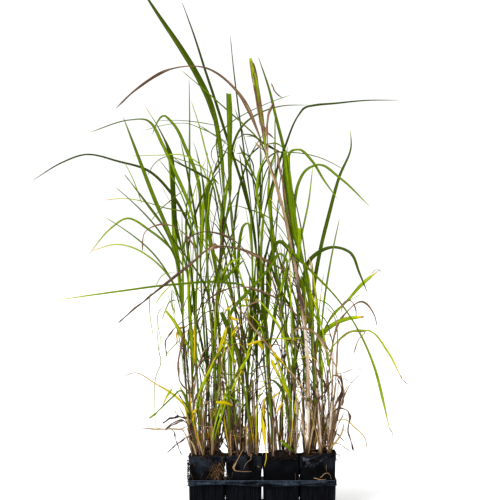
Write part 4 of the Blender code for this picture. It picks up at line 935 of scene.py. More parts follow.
GRASS = (
    shoot("shoot_1a", -1, 5.0, (
        (-17.5, 12.8), (-18.8, 27), (-19.6, 40), (-20, 50), (-20.6, 58), (-21.3, 62),
    ), (
        blade(60, ((-23, 67.1), (-27, 76.9), (-31, 87.4), (-34.8, 97.4)), -4, 12, "mid"),
        blade(50, ((-22.3, 55.9), (-27.3, 61.6), (-33, 64.9), (-36, 65.5), (-42.5, 64)), 6, 6, "browning"),
        blade(47, ((-22.8, 56.6), (-27, 62.9), (-35, 69.6), (-39.5, 72.4)), -7, 5, "green"),
        blade(55, ((-21.8, 62.1), (-26, 69.1), (-33, 76.6), (-36.8, 79.9)), -11, 5, "green"),
    ), "purple", (
        loose(((-26.3, 45.4), (-25.8, 38.6), (-25.3, 36.1), (-26.6, 32.6), (-26.9, 26.6), (-26.7, 19.6)),
              -4, 2.4, "pale"),
        loose(((-28.1, 53.6), (-28.2, 50), (-27.9, 46.4), (-27.2, 42.4)), -5, 2.6, "pale"),
        loose(((-24.4, 50.4), (-26, 48.6), (-26.1, 45.4), (-25.4, 41.6), (-25.9, 38.4)), -4, 2.2, "pale"),
        loose(((-23.2, 51.4), (-24.2, 49), (-25.2, 46.4)), -3, 4, "pale"),
        loose(((-22.6, 54.4), (-22.5, 50.4), (-21.6, 47.6)), -3, 4, "pale"),
        loose(((-19.6, 51.4), (-19.9, 49)), -2, 5, "straw"),
        loose(((-19.1, 30.4), (-19.6, 40), (-20, 51.6)), -1, 4.5, "dark"),
        loose(((-20.6, 41.6), (-22.8, 39.4), (-24.6, 37.2)), -2, 3, "olive"),
        loose(((-18.6, 47.4), (-21.4, 45), (-23.8, 42.6)), -2, 2.4, "deep"),
        loose(((-21.3, 58.4), (-24.6, 58.1), (-27.1, 54.1)), -3, 2.5, "bright"),
        loose(((-30, 75.4), (-32.2, 81.5), (-34.6, 86.4)), -3, 3, "bright"),
    )),
    shoot("shoot_1b", 1.5, 6.0, (
        (-16.8, 12.8), (-17.3, 27), (-17.8, 40), (-18.1, 52), (-18.9, 59), (-20.4, 65),
    ), (
        blade(64, ((-21.8, 71.1), (-22.3, 78), (-23.2, 88.5), (-25.6, 94), (-29.3, 100.1)),
              5, 14, "capped", form=(1, 1, 1, 1, 1, 1.25, 0.5, 0.4, 0.6)),
        blade(62, ((-22.5, 67.1), (-28, 74.4), (-34.3, 82.9)), -6, 6, "green"),
        blade(58, ((-22.5, 64.1), (-28, 68.9), (-34, 72), (-38, 69.4), (-43.3, 63.1)), 9, 7, "ripening"),
        blade(39, ((-19.8, 42), (-22, 46), (-24.3, 49.1)), -5, 9, "lime"),
        blade(32, ((-17.3, 35.4), (-17.7, 41.6), (-18.2, 49.1), (-18.5, 55.4), (-18.3, 59.6)),
              -3, 11, "bright"),
    ), "green", (
        loose(((-18.6, 44.9), (-20.8, 44.4), (-21.4, 42.4), (-21.1, 41.1)), -2, 6.5, "amber"),
        blade(39, ((-19.8, 42), (-22, 46), (-24.3, 49.1)), -6.2, 12, "lime", tip=5),
        loose(((-17.9, 39.1), (-17.8, 37.1)), -2, 5, "amber"),
        loose(((-17.1, 45.4), (-16.9, 41.4), (-17, 36.4)), -2, 4.5, "amber"),
        loose(((-22.1, 44.4), (-24.2, 41.1), (-23.8, 37.4)), -3, 4, "brown"),
        loose(((-22.3, 54.1), (-21.8, 47.9)), -2, 2, "straw"),
        blade(50, ((-18.1, 53.6), (-18, 56.1), (-17.7, 58.9)), -2, 3, "yellow"),
        blade(33, ((-17, 36.6), (-16.8, 40.9), (-16.8, 46.1)), -2, 3, "yellow"),
    )),
    shoot("shoot_1c", -2.6, 6.0, (
        (-15.6, 12.8), (-16, 27), (-16.6, 40), (-16.5, 52), (-16.2, 62), (-16.3, 70),
    ), (
        blade(69, ((-18.5, 75.9), (-21.8, 83.6), (-25, 90.6), (-29, 96.6), (-33, 96.6), (-43, 93.6)),
              -8, 10, "shaded", form=(1, 1, 1, 1, 1, 1, 0.6, 0.7, 1)),
        blade(64, ((-18.5, 70.6), (-23, 78.6), (-28, 83.6), (-36, 86.2), (-44.5, 87.9), (-50, 86),
                   (-57.3, 81.6)), 7, 8, "deep"),
        blade(61, ((-17.3, 65.6), (-19.8, 68.4), (-25, 70.6), (-29.3, 68.6), (-30, 63.9)), -6, 4, "brown"),
        blade(44, ((-18.5, 44.1), (-20.3, 40), (-20.9, 35), (-20.5, 31), (-18.3, 28.8)), -6, 6, "brown"),
        blade(40, ((-16.7, 46.6), (-17.3, 54.1), (-18.3, 61.1), (-19, 67.9), (-19, 73.6), (-18.6, 79.1)),
              4, 9, "deep"),
    ), "green", (
        loose(((-19.6, 79.1), (-22.8, 76.6), (-26.1, 73.6), (-27.8, 71.4)), -2, 3, "green"),
        loose(((-23.1, 55.1), (-25.6, 52.4), (-26.8, 50.4)), -2, 4, "lime"),
        loose(((-9.1, 44.6), (-11.1, 38.6)), -2, 5, "yellow"),
    )),
    shoot("shoot_1d", 0.3, 6.0, (
        (-14.4, 12.8), (-14, 25.4), (-12.8, 36.6), (-11, 55.4), (-10.3, 66.6), (-9.5, 78),
    ), (
        blade(77, ((-10.3, 87.9), (-13.3, 102.1), (-16.5, 108.6), (-20.5, 115.1), (-25.5, 122.4),
                   (-30.3, 129.6)), -6, 13, "darkening"),
        blade(72, ((-11.6, 80), (-13.8, 87.4), (-16, 96), (-17.8, 101.4)), 8, 5, "bright"),
        blade(75, ((-11, 87), (-11.3, 92.4), (-8, 95.9), (-3, 98.9), (2, 101.1), (7, 102.9)), 12, 4, "green"),
    ), "purple", (
        loose(((-11.9, 95.6), (-13.9, 102), (-16.9, 108.4), (-20.9, 114.9), (-25.8, 122.2), (-30.1, 129)),
              0.5, 10, "green"),
        loose(((-10.1, 94.9), (-15.6, 96), (-20.6, 96.5), (-25.8, 96.5)), 3, 2.5, "green"),
        loose(((-8.6, 90.9), (-11.8, 92.9), (-15.6, 94.6), (-18.1, 95.6), (-23.6, 95.5), (-29.3, 94.1)),
              -3, 2.5, "mid"),
    )),
    shoot("shoot_1e", 3, 5.5, (
        (-13.4, 12.8), (-13.4, 27), (-14.2, 38), (-15, 50), (-15.5, 62), (-15.4, 72),
    ), (
        blade(71, ((-16, 80.9), (-19, 89.1), (-22.5, 95.9), (-24.8, 97.8), (-26.4, 95.8), (-27.5, 93)),
              6, 11, "mid"),
        blade(66, ((-17.8, 74), (-18.2, 86), (-18.2, 97), (-18.3, 107)), 11, 6, "mid"),
        blade(69, ((-19.3, 73.4), (-24.3, 74.6), (-29.3, 76.1), (-34.3, 77), (-39.3, 76.6)),
              -9, 4, "browning"),
        blade(61, ((-15.2, 65.4), (-15.2, 70.4), (-14.8, 75.4), (-14.1, 79.1), (-13.3, 82.1), (-12.6, 85.1)),
              -5, 12, "bright"),
    ), "green", (
        blade(35, ((-14.8, 38.6), (-15.5, 42.1), (-16.3, 45.6), (-17.3, 48.9), (-18.3, 52.1)), -4, 8, "deep"),
        blade(31, ((-15.1, 34.1), (-16.1, 36.6), (-17.2, 39.4), (-18.3, 42.1)), -2, 5, "mid"),
    )),
    shoot("shoot_1f", -1.9, 7.0, (
        (-11.6, 12.8), (-11.6, 27), (-12.4, 41), (-13.4, 54), (-13.9, 64), (-14.1, 74),
    ), (
        blade(73, ((-14, 77), (-13.4, 80), (-12.2, 82), (-10.8, 80.5)), -10, 10, "green"),
        blade(71, ((-13.6, 80.5), (-15.5, 85.4), (-19, 87.6), (-26, 87.8), (-33, 87.6)), 3, 4, "lime"),
    ), "green", (
        loose(((-12.8, 81.4), (-17.1, 83.8), (-20.6, 85.6), (-23.6, 87.4)), -2, 6, "deep"),
        loose(((-12.7, 40.4), (-12.4, 48), (-12.2, 55.4)), -1, 5, "dark"),
        loose(((-12.6, 83.1), (-15.6, 85.1), (-19.6, 86.4), (-24.3, 87.4), (-26.8, 85.9), (-28.6, 82.9)),
              -4, 3, "shaded"),
        blade(49, ((-14.1, 54.6), (-16.3, 58.6), (-18.8, 62.1), (-21.3, 65.4), (-23.8, 68.4)), -8, 6, "deep"),
    )),
    shoot("shoot_1g", -3.5, 4.0, ((-16.6, 12.8), (-17, 19), (-17.6, 22)), (
        blade(20, ((-18.5, 23.9), (-20.8, 26.6), (-26.5, 30.5), (-32.3, 33.4), (-34.5, 32.6)),
              -5, 5, "scorched"),
        blade(19, ((-18.6, 25), (-20.4, 29), (-22.5, 27.2), (-27.8, 22.1)), -9, 7, "green"),
    ), "green", (
        loose(((-22.4, 29.6), (-23.8, 27.6), (-24.8, 25.4)), -1, 6.5, "turning"),
        loose(((-18.8, 24.6), (-21.6, 27.6), (-24.6, 29.6), (-27.6, 31.1)), -0.5, 5, "yellow"),
        loose(((-26.2, 23.5), (-27.2, 22.8), (-28.2, 22)), -1, 6, "mid", tip=5),
        loose(((-18.6, 22.1), (-22.3, 22.2), (-24.8, 20.9)), -2, 6.5, "dark", tip=3),
        loose(((-20.1, 19.3), (-26.8, 19.3), (-30.6, 19.6)), -1, 5, "dry"),
        loose(((-19.4, 21.4), (-22.4, 20.4), (-24.4, 18.9)), -2, 4, "brown"),
        loose(((-19.1, 17.1), (-21.3, 15.6), (-23.8, 13.4)), -1, 4, "brown"),
        loose(((-22.1, 18.9), (-21.3, 15.6), (-20.1, 12.9)), -2, 3, "dark"),
        loose(((-18.2, 24), (-21.6, 29.1)), -1, 3, "dark"),
    )),
    shoot("shoot_1h", -3.4, 4.0, ((-14.6, 12.8), (-15.6, 20), (-16, 26)), (
        blade(25, ((-15.2, 29), (-12.8, 34.5), (-10.3, 39), (-8.4, 41.9)), 3, 8, "gilded"),
        blade(24, ((-14.9, 30.5), (-11.8, 36.5), (-10, 41), (-8.8, 45.5)), 5, 6, "lime"),
    )),
    shoot("shoot_1i", 3.3, 5.0, ((-15.9, 12.8), (-15.4, 22), (-15.1, 31)), (), "dead"),
    shoot("shoot_1j", -3.4, 4.5, ((-12.7, 12.8), (-11.9, 21), (-11.1, 29), (-10.4, 36)), (
        blade(16, ((-10.5, 22.1), (-8.5, 27.4), (-6.5, 31.4), (-3.3, 38.1)), -1.5, 7, "turning"),
        blade(35, ((-9.6, 40.4), (-10.8, 38.9), (-13.1, 34.4), (-14.8, 30.9), (-16.1, 27.1), (-16.8, 22.1)),
              -6, 5, "greening"),
    ), "green", (
        loose(((-11.6, 26.1), (-9.3, 26), (-7, 25.2)), -6, 12, "yellow"),
        loose(((-17.6, 23.4), (-16.2, 24.5)), -1, 7, "amber"),
        loose(((-17.7, 21), (-16.9, 23)), -1, 5, "amber"),
        loose(((-9.6, 27.9), (-7.3, 27.1), (-4.1, 24.4)), -2, 4, "mid"),
    )),
    shoot("shoot_1k", 3.4, 5.5, ((-17.4, 12.8), (-18.4, 30), (-19.7, 45), (-20.5, 53)), (
        blade(52, ((-21, 59), (-21.9, 66.6), (-22.3, 76), (-23, 84.1), (-23.8, 91.1)), 3, 14, "bright"),
        blade(50, ((-22.8, 65.9), (-25.3, 71), (-29, 76.1), (-34.6, 83.1)), 8, 5, "deep"),
    ), "purple"),
    shoot("shoot_1l", 1.7, 5.0, ((-12.6, 12.8), (-12, 27), (-11.6, 42), (-11.1, 55)), (
        blade(54, ((-9.5, 59), (-7.5, 61.4), (-4.5, 62.1)), -6, 7, "lime"),
        blade(53, ((-10.6, 60), (-9.4, 70), (-7.6, 80)), 9, 8, "mid"),
        blade(54.5, ((-11.6, 58.6), (-12.3, 62.9), (-13.3, 67.9), (-13.7, 72.1), (-13.3, 76.1), (-12.5, 79.9),
                     (-11.8, 82.6)), 2, 12, "mid"),
    ), "purple", (
        loose(((-10.3, 55.6), (-7.6, 58.9), (-4.3, 61.9)), -3, 9, "green"),
        blade(27, ((-11.2, 30.4), (-10.8, 35.4), (-10.7, 40.4), (-10.9, 44.6), (-11.1, 48.6)),
              2, 8, "bright", tip=6),
        blade(28, ((-11, 30.4), (-10.6, 33.4), (-9.6, 35.6), (-8.3, 37.9)), -2, 5, "deep"),
    )),
    shoot("shoot_1m", 0.4, 5.0, ((-16.4, 12.8), (-17.3, 20), (-18.1, 25)), (
        blade(24, ((-19.4, 27.4), (-20.6, 29.9)), 4, 10, "bright", tip=3),
        blade(19, ((-20.3, 21.6), (-24.3, 19.4)), 7, 5, "brown"),
    )),
    shoot("shoot_1n", -0.2, 5.5, ((-13.1, 12.8), (-12.9, 21), (-12.2, 29)), (), "dead"),
    shoot("shoot_1o", 3.4, 5.0, ((-11.6, 12.8), (-10.9, 22), (-10.3, 33)), (), "dead", (
        blade(14, ((-10.6, 20), (-9.6, 27.5)), -2, 5, "brown"),
        blade(13.2, ((-10.6, 15.4), (-9.8, 19.4), (-9.7, 24)), -4, 4, "dark"),
        blade(13.2, ((-10.8, 14.6), (-9.4, 17.5)), -4, 6, "brown"),
        blade(14, ((-10.4, 17), (-9.3, 21)), -4, 5, "dry"),
    )),
    shoot("shoot_2a", -3.3, 6.0, ((-3.2, 12.8), (-3.6, 24), (-4.8, 31), (-6, 37.5), (-7.6, 42)), (
        blade(30, ((-6, 37.5), (-7.6, 42), (-8.8, 45.2), (-10.3, 48.6)), -1, 15, "deep", tip=11),
    )),
    shoot("shoot_2b", 1.4, 6.0, (
        (-2.4, 12.8), (-3.5, 26.6), (-4.8, 39.1), (-5.6, 51.6), (-6.6, 61.1), (-7.5, 69.1), (-8.2, 78),
    ), (
        blade(77, ((-8.2, 86), (-8.2, 95), (-8.5, 103.2)),
              -13, 12.5, "mid", 10, form=(1, 0.9, 0.9, 0.95, 1.1, 1.3, 1.5, 1.4)),
        blade(76, ((-8, 84), (-7.5, 89.6), (-4.8, 95.4), (0.8, 99.1), (5, 100.2), (11.3, 100.4)),
              9, 7, "green"),
        blade(57, ((-5.8, 64.6), (-5.3, 68.4), (-4.5, 70.6), (-3.6, 71), (-3, 69.5), (-2.9, 66)),
              -7, 9, "mid"),
    ), "purple", (
        blade(50, ((-6.1, 56.1), (-7.5, 61.1), (-9.1, 65.6), (-10.5, 68.6), (-11.8, 70.6), (-13.2, 71.5)),
              -6, 6, "deep"),
        blade(75, ((-6.1, 75.2), (-3.6, 74.4), (-1.1, 73.6), (1.4, 72.4), (3.7, 70.6), (5.2, 68.6),
                   (6.9, 65.9)), -6, 4, "mid"),
        blade(65, ((-7.8, 65.9), (-8.7, 69.1), (-9.6, 72.6), (-10.5, 75.9), (-11.3, 79.1), (-12.1, 82.1)),
              -3, 6, "green"),
        loose(((-15.8, 95.4), (-12.8, 93.4), (-9.8, 91.4), (-6.8, 88.8)), -2, 4, "bright"),
        loose(((-9.6, 91.6), (-12.2, 90), (-12.8, 88), (-11.2, 84.6)), -2, 2.4, "green"),
        loose(((-12.6, 82.6), (-10.4, 86.4), (-8.4, 90.4)), -2, 6, "deep"),
        blade(56, ((-7.6, 55.5), (-10.6, 55.9), (-13.6, 55.4)), -3, 3, "mid"),
        loose(((-5, 51.8), (-3.4, 51.9), (-2.7, 50.8)), -2, 6, "amber"),
        loose(((-5.6, 50.4), (-3.9, 50.2)), -2, 8, "lime"),
    )),
    shoot("shoot_2c", -1.2, 5.5, (
        (-4.4, 12.8), (-4, 26.6), (-2.9, 44.1), (-2.5, 54.1), (-2.5, 64.1), (-3, 73.6),
    ), (
        blade(72, ((-5, 80.1), (-9.5, 94.1), (-12, 102.1), (-14.3, 109.1), (-17, 117.6), (-20, 125.9)),
              -5, 8.5, "deep"),
        blade(61, ((-5, 64.6), (-10, 68), (-16, 68.3), (-19.5, 65.9), (-20, 63.6)), -7, 5, "brown"),
        blade(52, ((-4.8, 55.1), (-9.3, 55.9), (-21.8, 55.4), (-36.8, 53.6), (-51.3, 51.6)), -13, 9, "olive"),
    ), "purple"),
    shoot("shoot_2d", 3.2, 5.0, (
        (-1.2, 12.8), (-1.3, 26), (-1.3, 40), (-1.1, 52), (-1.3, 61), (-2, 69), (-2.8, 74),
    ), (
        blade(73, ((-3.3, 79.1), (-4.8, 90.4), (-6.5, 103.6), (-7.3, 110.4), (-8, 117.6)), 6, 5, "deep"),
        blade(71, ((-1, 80), (0.5, 86), (3, 88.4), (7, 88.6), (14, 87.4), (20.8, 84.1)), 10, 5, "green"),
        blade(60, ((-1.7, 65.4), (-2.6, 71.1), (-3.8, 76.6), (-5.2, 81.6), (-6.3, 85.4)), -4, 8, "deep"),
    ), "purple", (
        loose(((-2.5, 44.4), (-2.3, 50), (-2.6, 56.6)), -1, 5, "dark"),
        loose(((-5, 32.2), (-5, 39), (-5.4, 45.4)), -1, 4.5, "dark"),
        loose(((-3.4, 33), (-3.2, 42), (-2.9, 50), (-3.3, 58)), -2, 9, "deep"),
        loose(((-1.6, 36), (-1.8, 46), (-2, 56), (-1.4, 64)), -2, 8, "green"),
    )),
    shoot("shoot_2e", -1.6, 9.0, ((-8, 12.8), (-9.1, 24), (-9.9, 31.6)), (), "dead", (
        blade(13.4, ((-9.5, 20), (-10.2, 26)), -1, 6, "brown"),
        blade(13.4, ((-9.4, 15.6), (-10.6, 18.5), (-11.2, 22.6)), -1, 4, "dark"),
        blade(13.4, ((-8, 19), (-8.3, 26), (-9.2, 33)), -2, 6, "dry"),
    )),
    shoot("shoot_2f", 1.2, 8.0, ((-6.6, 12.8), (-7.2, 22), (-7.1, 30.5)), (), "dead"),
    shoot("shoot_2g", 3.3, 5.0, ((-5.2, 12.8), (-4.9, 27), (-5.5, 40), (-7.4, 52), (-9.2, 62), (-10.6, 70)), (
        blade(69, ((-11.5, 76), (-12.8, 81), (-16, 83.5), (-20, 85.5), (-23, 88)), 13, 5, "green"),
        blade(60, ((-10.4, 68), (-10, 76), (-8.6, 82)), 12, 7, "bright"),
    ), "purple", (
        blade(56, ((-10.1, 57), (-12.8, 57.4), (-15.6, 57.4)), -2, 2.5, "mid"),
        loose(((-11.2, 57.4), (-10.3, 64), (-9.8, 72), (-9.9, 76.9)), -5, 5, "dark"),
        loose(((-8.1, 47.8), (-7.2, 46.9), (-5.7, 46.7)), -2, 9, "amber"),
        loose(((-9.4, 49), (-7.6, 50.1)), -2, 6, "amber"),
        loose(((-8.6, 40.6), (-7.6, 38.2), (-6.5, 35)), -2, 7, "amber"),
    )),
    shoot("shoot_2h", -3, 5.0, ((-7.9, 12.8), (-8.6, 25), (-9.4, 36), (-9.8, 43)), (
        blade(42, ((-7.5, 49.1), (-2.8, 54.6), (2.3, 60.4), (4.4, 63.4), (6, 62), (6, 58.5), (4.5, 53.4)),
              -9, 10, "green"),
    ), "green", (
        loose(((-7.9, 42.4), (-6, 45.4)), -2, 7, "amber"),
        loose(((-5.8, 33.9), (-4.4, 36.2), (-3, 38.6)), -2, 8, "gilded"),
        loose(((-4, 40.3), (-1.8, 41.2), (0.2, 41.6)), -2, 7, "amber"),
        loose(((-8.8, 44.9), (-9.6, 41.6), (-10.9, 39.2)), -2, 6, "amber"),
        blade(40, ((-9.6, 41.6), (-9, 44.6)), -1.5, 5, "yellow", tip=3),
    )),
    shoot("shoot_2i", -2, 9.0, ((-1.6, 12.8), (-2, 22), (-2.5, 32)), (), "dead", (
        blade(30, ((-3.8, 29.9), (-5.6, 29.4), (-7.6, 28.4)), -2, 4, "brown"),
        blade(31, ((-1.1, 32.4), (0.9, 33.9)), -2, 4, "brown"),
    )),
    shoot("shoot_2j", -0.2, 5.5, ((-3.1, 12.8), (-3.3, 24), (-3.6, 34), (-3.2, 41)), (
        blade(38, ((-4, 39.9), (-4.9, 36.4), (-6.4, 33.1), (-8.1, 29.6), (-10.1, 25.6), (-12.8, 16.6)),
              -8, 7, "greening"),
        blade(39, ((-1.1, 41.3), (2.4, 41.9), (9.9, 42.1)), -7, 5, "greening"),
    ), "green", (
        loose(((-1, 41.4), (0.5, 38.9)), -2, 13, "yellow"),
        loose(((2.4, 38.8), (4.6, 36.6), (7, 33.4)), -2, 7, "amber"),
        loose(((2.2, 37), (3.2, 34.6), (4.6, 32.4)), -2, 9, "yellow"),
        loose(((-1.4, 27.4), (0.3, 28.4)), -2, 6, "amber"),
        blade(33, ((-1.6, 34.6), (0.4, 37.4), (2.4, 40.1), (4.2, 43.1), (5.9, 46.6), (7.4, 49.6)),
              -7, 5, "deep"),
    )),
    shoot("shoot_2k", -3.5, 5.0, ((-6.1, 12.8), (-6.8, 25), (-7.2, 36)), (
        blade(35, ((-7.6, 42), (-7.8, 47)), -2, 7, "bright"),
        blade(26, ((-7.7, 30.4), (-8, 36.1), (-8.2, 41.1), (-8.4, 46.6), (-8.8, 51.6)), 3, 9, "mid"),
    )),
    shoot("shoot_2l", 3.4, 7.5, ((-7.4, 12.8), (-7.9, 22), (-8.4, 29)), (), "dead"),
    shoot("shoot_2m", -0.4, 6.0, ((-5.4, 12.8), (-5.6, 23), (-5.8, 33)), (), "dead"),
    shoot("shoot_3a", -0.8, 8.0, (
        (3.6, 12.8), (2.5, 22.9), (1.8, 31.6), (1, 41.6), (0.3, 51.6), (-0.3, 64.1), (0.3, 73),
    ), (
        blade(72, ((2, 79.1), (5.5, 89.4), (9.3, 98.2), (10.6, 99.8), (12.5, 100.3), (18.3, 100.9),
                   (26, 101.6), (34, 101.6)), -5, 9.5, "deep", form=(0.7, 0.7, 0.7, 0.65, 0.5, 1, 1, 1, 1)),
        blade(45, ((1.8, 54.1), (2.2, 62), (4.3, 66.6), (7.5, 63.6), (12.5, 58.6), (18.8, 51.9), (24, 44.1),
                   (28, 35.1), (30.5, 25.4), (32, 18.4)),
              -10, 11.5, "lightening", form=(1, 1, 1, 0.72, 0.5, 0.45, 0.85, 1.6, 1)),
        blade(28, ((1.2, 27.5), (0.4, 24), (0.3, 20), (0.7, 15.5), (1, 12), (0.5, 9.9)),
              -6.5, 10, "amber", form=(0.8, 1.1, 1.2, 1.2, 1.2, 1.1, 0.7, 0.4, 0.3, 0.4)),
    ), "purple", (
        loose(((31.6, 20.2), (32, 19.2), (32.7, 18.2), (32.4, 17)), 0, 1.4, "dark"),
        blade(45, ((1.5, 54.1), (2, 62), (4.2, 66.4), (7.3, 63.4), (10, 60.6)), -2.6, 14, "deep"),
        loose(((0, 51.6), (-3.1, 50.4), (-4.3, 48.6), (-4.8, 46.1)), -2, 5, "brown"),
        loose(((1.7, 38.9), (4.2, 36.6), (6.9, 34.1)), -2, 5, "green"),
        loose(((2.2, 36.4), (3.7, 33.6), (5.7, 28.9)), -3, 6, "mid"),
    )),
    shoot("shoot_3b", 2.6, 5.0, ((1.9, 12.8), (1.2, 27), (0.2, 40), (-0.2, 52), (-0.8, 64), (-1.6, 76)), (
        blade(75, ((-2, 81), (-4, 84.6), (-7.5, 87.4), (-12, 90.5)), -8, 5, "green"),
        blade(68, ((-0.3, 76), (0, 82), (-0.2, 89)), 12, 5, "mid"),
    ), "green", (
        blade(75, ((0.6, 83), (2.9, 89.4), (-0.2, 91.2), (-2.6, 92.6), (-4.3, 92.4)), -3, 4, "deep"),
        loose(((5.2, 88.2), (2.8, 89.4), (0.2, 90.8), (-2.2, 92.6), (-4.6, 93), (-6.4, 91.8)),
              -3, 6.5, "deep"),
        loose(((1.2, 90.6), (3.4, 90.9), (5.8, 89.2)), -2, 5, "mid"),
        loose(((-0.4, 90.2), (-2, 88.8), (-4, 87)), -1, 5, "deep"),
        loose(((-5.8, 90.6), (-4.2, 87), (-2.4, 83.4), (-0.6, 79.6)), -3, 7, "mid"),
        loose(((1.5, 82.6), (2.2, 85.8), (3.4, 88)), -2, 7, "bright"),
        loose(((-6.6, 88.2), (-4.4, 88.4), (-2.6, 86.4), (-2, 82.6)), -3, 5, "green"),
        blade(52, ((-0.1, 56.6), (0.5, 61.1), (1.4, 65.1), (2.2, 68.6), (2.7, 72.6)), -5, 7, "deep"),
        loose(((-0.5, 75), (-0.5, 82), (-0.5, 88), (-0.6, 92.4)), -1, 4.5, "deep"),
        loose(((-2.6, 72), (-3.9, 78), (-5, 83.6), (-5.7, 88)), -2, 7, "deep"),
    )),
    shoot("shoot_3c", 0.9, 7.5, (
        (8, 12.8), (8, 27), (8.2, 39), (7.5, 49), (6, 55.4), (4.5, 61), (2.8, 66), (1.4, 69.6),
    ), (
        blade(69, ((-0.3, 73), (-1.3, 78), (-0.8, 84), (1.5, 89)), -6, 8, "bright"),
        blade(64, ((2.2, 72), (2.2, 78), (3.5, 83), (4, 88.5)), 10, 9, "mid"),
        blade(62, ((3.2, 65.4), (2.3, 69.6), (1.8, 74.1), (1.5, 77.9), (1.7, 81.6), (2.2, 85.4)),
              -3, 9, "bright"),
    ), "green", (
        blade(66, ((2.7, 69.1), (3.7, 72.9), (4.9, 76.6)), -2, 3, "deep"),
    )),
    shoot("shoot_3d", -2.9, 5.5, ((6.9, 12.8), (7, 24), (6.6, 36), (5.6, 46), (4.4, 53)), (
        blade(52, ((3.2, 60), (2.2, 68), (2.4, 76)), -3, 9, "green"),
        blade(26, ((5.5, 31.5), (3.5, 36.5), (1.7, 41)), -5, 7, "turning"),
        blade(25, ((6, 30), (4.6, 32), (2.5, 32)), -8, 7, "bright"),
        blade(37, ((5.4, 42.1), (3.9, 45.4), (2, 48.1), (0.2, 50.4), (-1.6, 52.1)), -5, 8, "bright"),
    ), "green", (
        loose(((8, 13.2), (6.2, 14.9), (4.5, 16.6)), -9, 12, "mid"),
        loose(((5.2, 26.1), (3.4, 23.1)), -2, 7, "amber"),
        loose(((4.2, 32.4), (5.8, 29.4), (7.3, 26)), -2, 8, "yellow"),
        loose(((2.2, 27), (4.4, 28.7)), -2, 6, "amber"),
        loose(((8.9, 26.6), (8.9, 23.6), (8.7, 20.4)), -2, 5, "yellow"),
    )),
    shoot("shoot_3e", 3.3, 4.0, ((5.2, 12.8), (5, 27), (4.9, 40), (4.8, 50), (4.4, 58)), (
        blade(57, ((6.2, 64), (7, 68.5), (4.5, 73), (1, 76)), 7, 5, "bright"),
    )),
    shoot("shoot_3f", 1.9, 5.5, ((4.4, 12.8), (4.6, 22), (5.5, 30)), (), "dead"),
    shoot("shoot_3g", -0.9, 6.0, ((6.1, 12.8), (7.3, 30), (8.9, 46), (8.6, 58), (6.9, 69)), (
        blade(68, ((5.7, 76), (5.4, 84), (6.3, 90)), 8, 10, "mid"),
        blade(57, ((9.5, 66), (11.7, 77), (12.6, 85)), 9, 6, "bright"),
        blade(45, ((7.7, 48.6), (5.9, 51.6), (4.2, 54.6), (2.9, 57.9), (1.9, 61.1), (1.2, 64.1)),
              3, 8, "deep"),
        blade(52, ((8.7, 57.9), (7.9, 62.9), (7.2, 67.9), (6.5, 73.1), (5.9, 78.6), (5.4, 83.6), (5, 89.1)),
              4, 10, "green"),
    ), "green", (
        loose(((8.9, 62.1), (9.1, 65.4), (9.3, 69.6)), -2, 11, "bright", tip=8),
        loose(((8.7, 40.4), (8.7, 48), (9, 55.4)), -1, 4, "dark"),
        blade(66, ((5.7, 71.1), (4.4, 73.1), (1.9, 77.1)), -3, 3, "lime"),
    )),
    shoot("shoot_3h", -3.4, 6.0, ((2.7, 12.8), (2.2, 22), (1.4, 33), (0.6, 44)), (
        blade(43, ((0.3, 50), (0.2, 56), (0.5, 63)), -3, 9, "deep"),
        blade(30, ((2.2, 31.8), (4.4, 29.9), (5.7, 26.6), (6.4, 21.6)), -6, 7, "deep"),
    ), "green", (
        blade(37, ((1.9, 41.1), (2.8, 45.4), (3.5, 49.6), (4.2, 54.1), (4.4, 57.1)), -3, 8, "deep"),
        blade(31, ((-0.1, 29.6), (-1.8, 29.1), (-3.3, 28.6)), -2, 4, "brown"),
    )),
    shoot("shoot_3i", 2.9, 6.5, ((7.4, 12.8), (7.2, 24), (7.6, 37)), (), "straw"),
    shoot("shoot_3j", -1.5, 5.0, (
        (8.3, 12.8), (8.7, 21.6), (8.4, 27.9), (7.2, 33.6), (6.2, 38.6), (5.2, 44.1), (4.4, 49.6),
        (3.4, 54.1), (2.2, 57.9), (0.7, 60.6), (-0.6, 62.4),
    ), (), "straw", (
        blade(22, ((8.3, 28.2), (7.3, 33.6), (6.3, 38.6), (5.3, 44.1), (4.5, 49.6), (3.5, 54.1)),
              -3, 4, "dry"),
    )),
    shoot("shoot_4a", -3.1, 9.0, (
        (11.2, 12.8), (11.5, 26.6), (11, 41.6), (9.8, 50.4), (8.5, 59.1), (7, 66.6), (5.5, 73.6), (3.8, 79.9),
        (0.9, 88.5),
    ), (
        blade(88, ((-1.3, 93.9), (-6, 103.6), (-14.3, 109.6), (-22.5, 109.4), (-31.8, 104.1), (-36.5, 99.6)),
              -7, 8, "brown", form=(1, 1, 1, 1, 1, 1, 0.8, 0.45, 0.45, 1.6, 1.9, 1, 1)),
        blade(87, ((0.2, 94), (-0.8, 101), (-1.8, 106.5), (-3, 112.1)),
              -1, 11, "rusty", 8, form=(0.9, 0.8, 0.8, 0.9, 1.1, 1.35, 1.3, 0.9)),
        blade(86, ((1.2, 93), (1.6, 98), (3, 101)), -5, 5, "brown"),
        blade(56, ((5.5, 58.9), (-1, 62.4), (-6.8, 64.5), (-12, 64.9), (-18, 60.6), (-25.5, 54.6),
                   (-35.8, 46.1)), -9, 7, "brown"),
        blade(45, ((6.5, 49.9), (0, 53.7), (-5.5, 54.9), (-11, 53.4), (-17.3, 48.1)), -10, 5, "brown"),
    ), "straw", (
        blade(86, ((-1.1, 91.9), (-4.8, 95.6), (-9.1, 99.4), (-15.6, 105.1), (-20.3, 109.1)), -4, 4.4, "mid"),
        loose(((0.8, 92), (0, 98.5), (-0.9, 104.4), (-1.6, 108.6), (-2.2, 111)), -0.4, 4.4, "brown"),
        loose(((0.4, 91), (-0.5, 96.5), (-1.4, 101.4), (-2.2, 105.4)), -0.6, 5, "brown"),
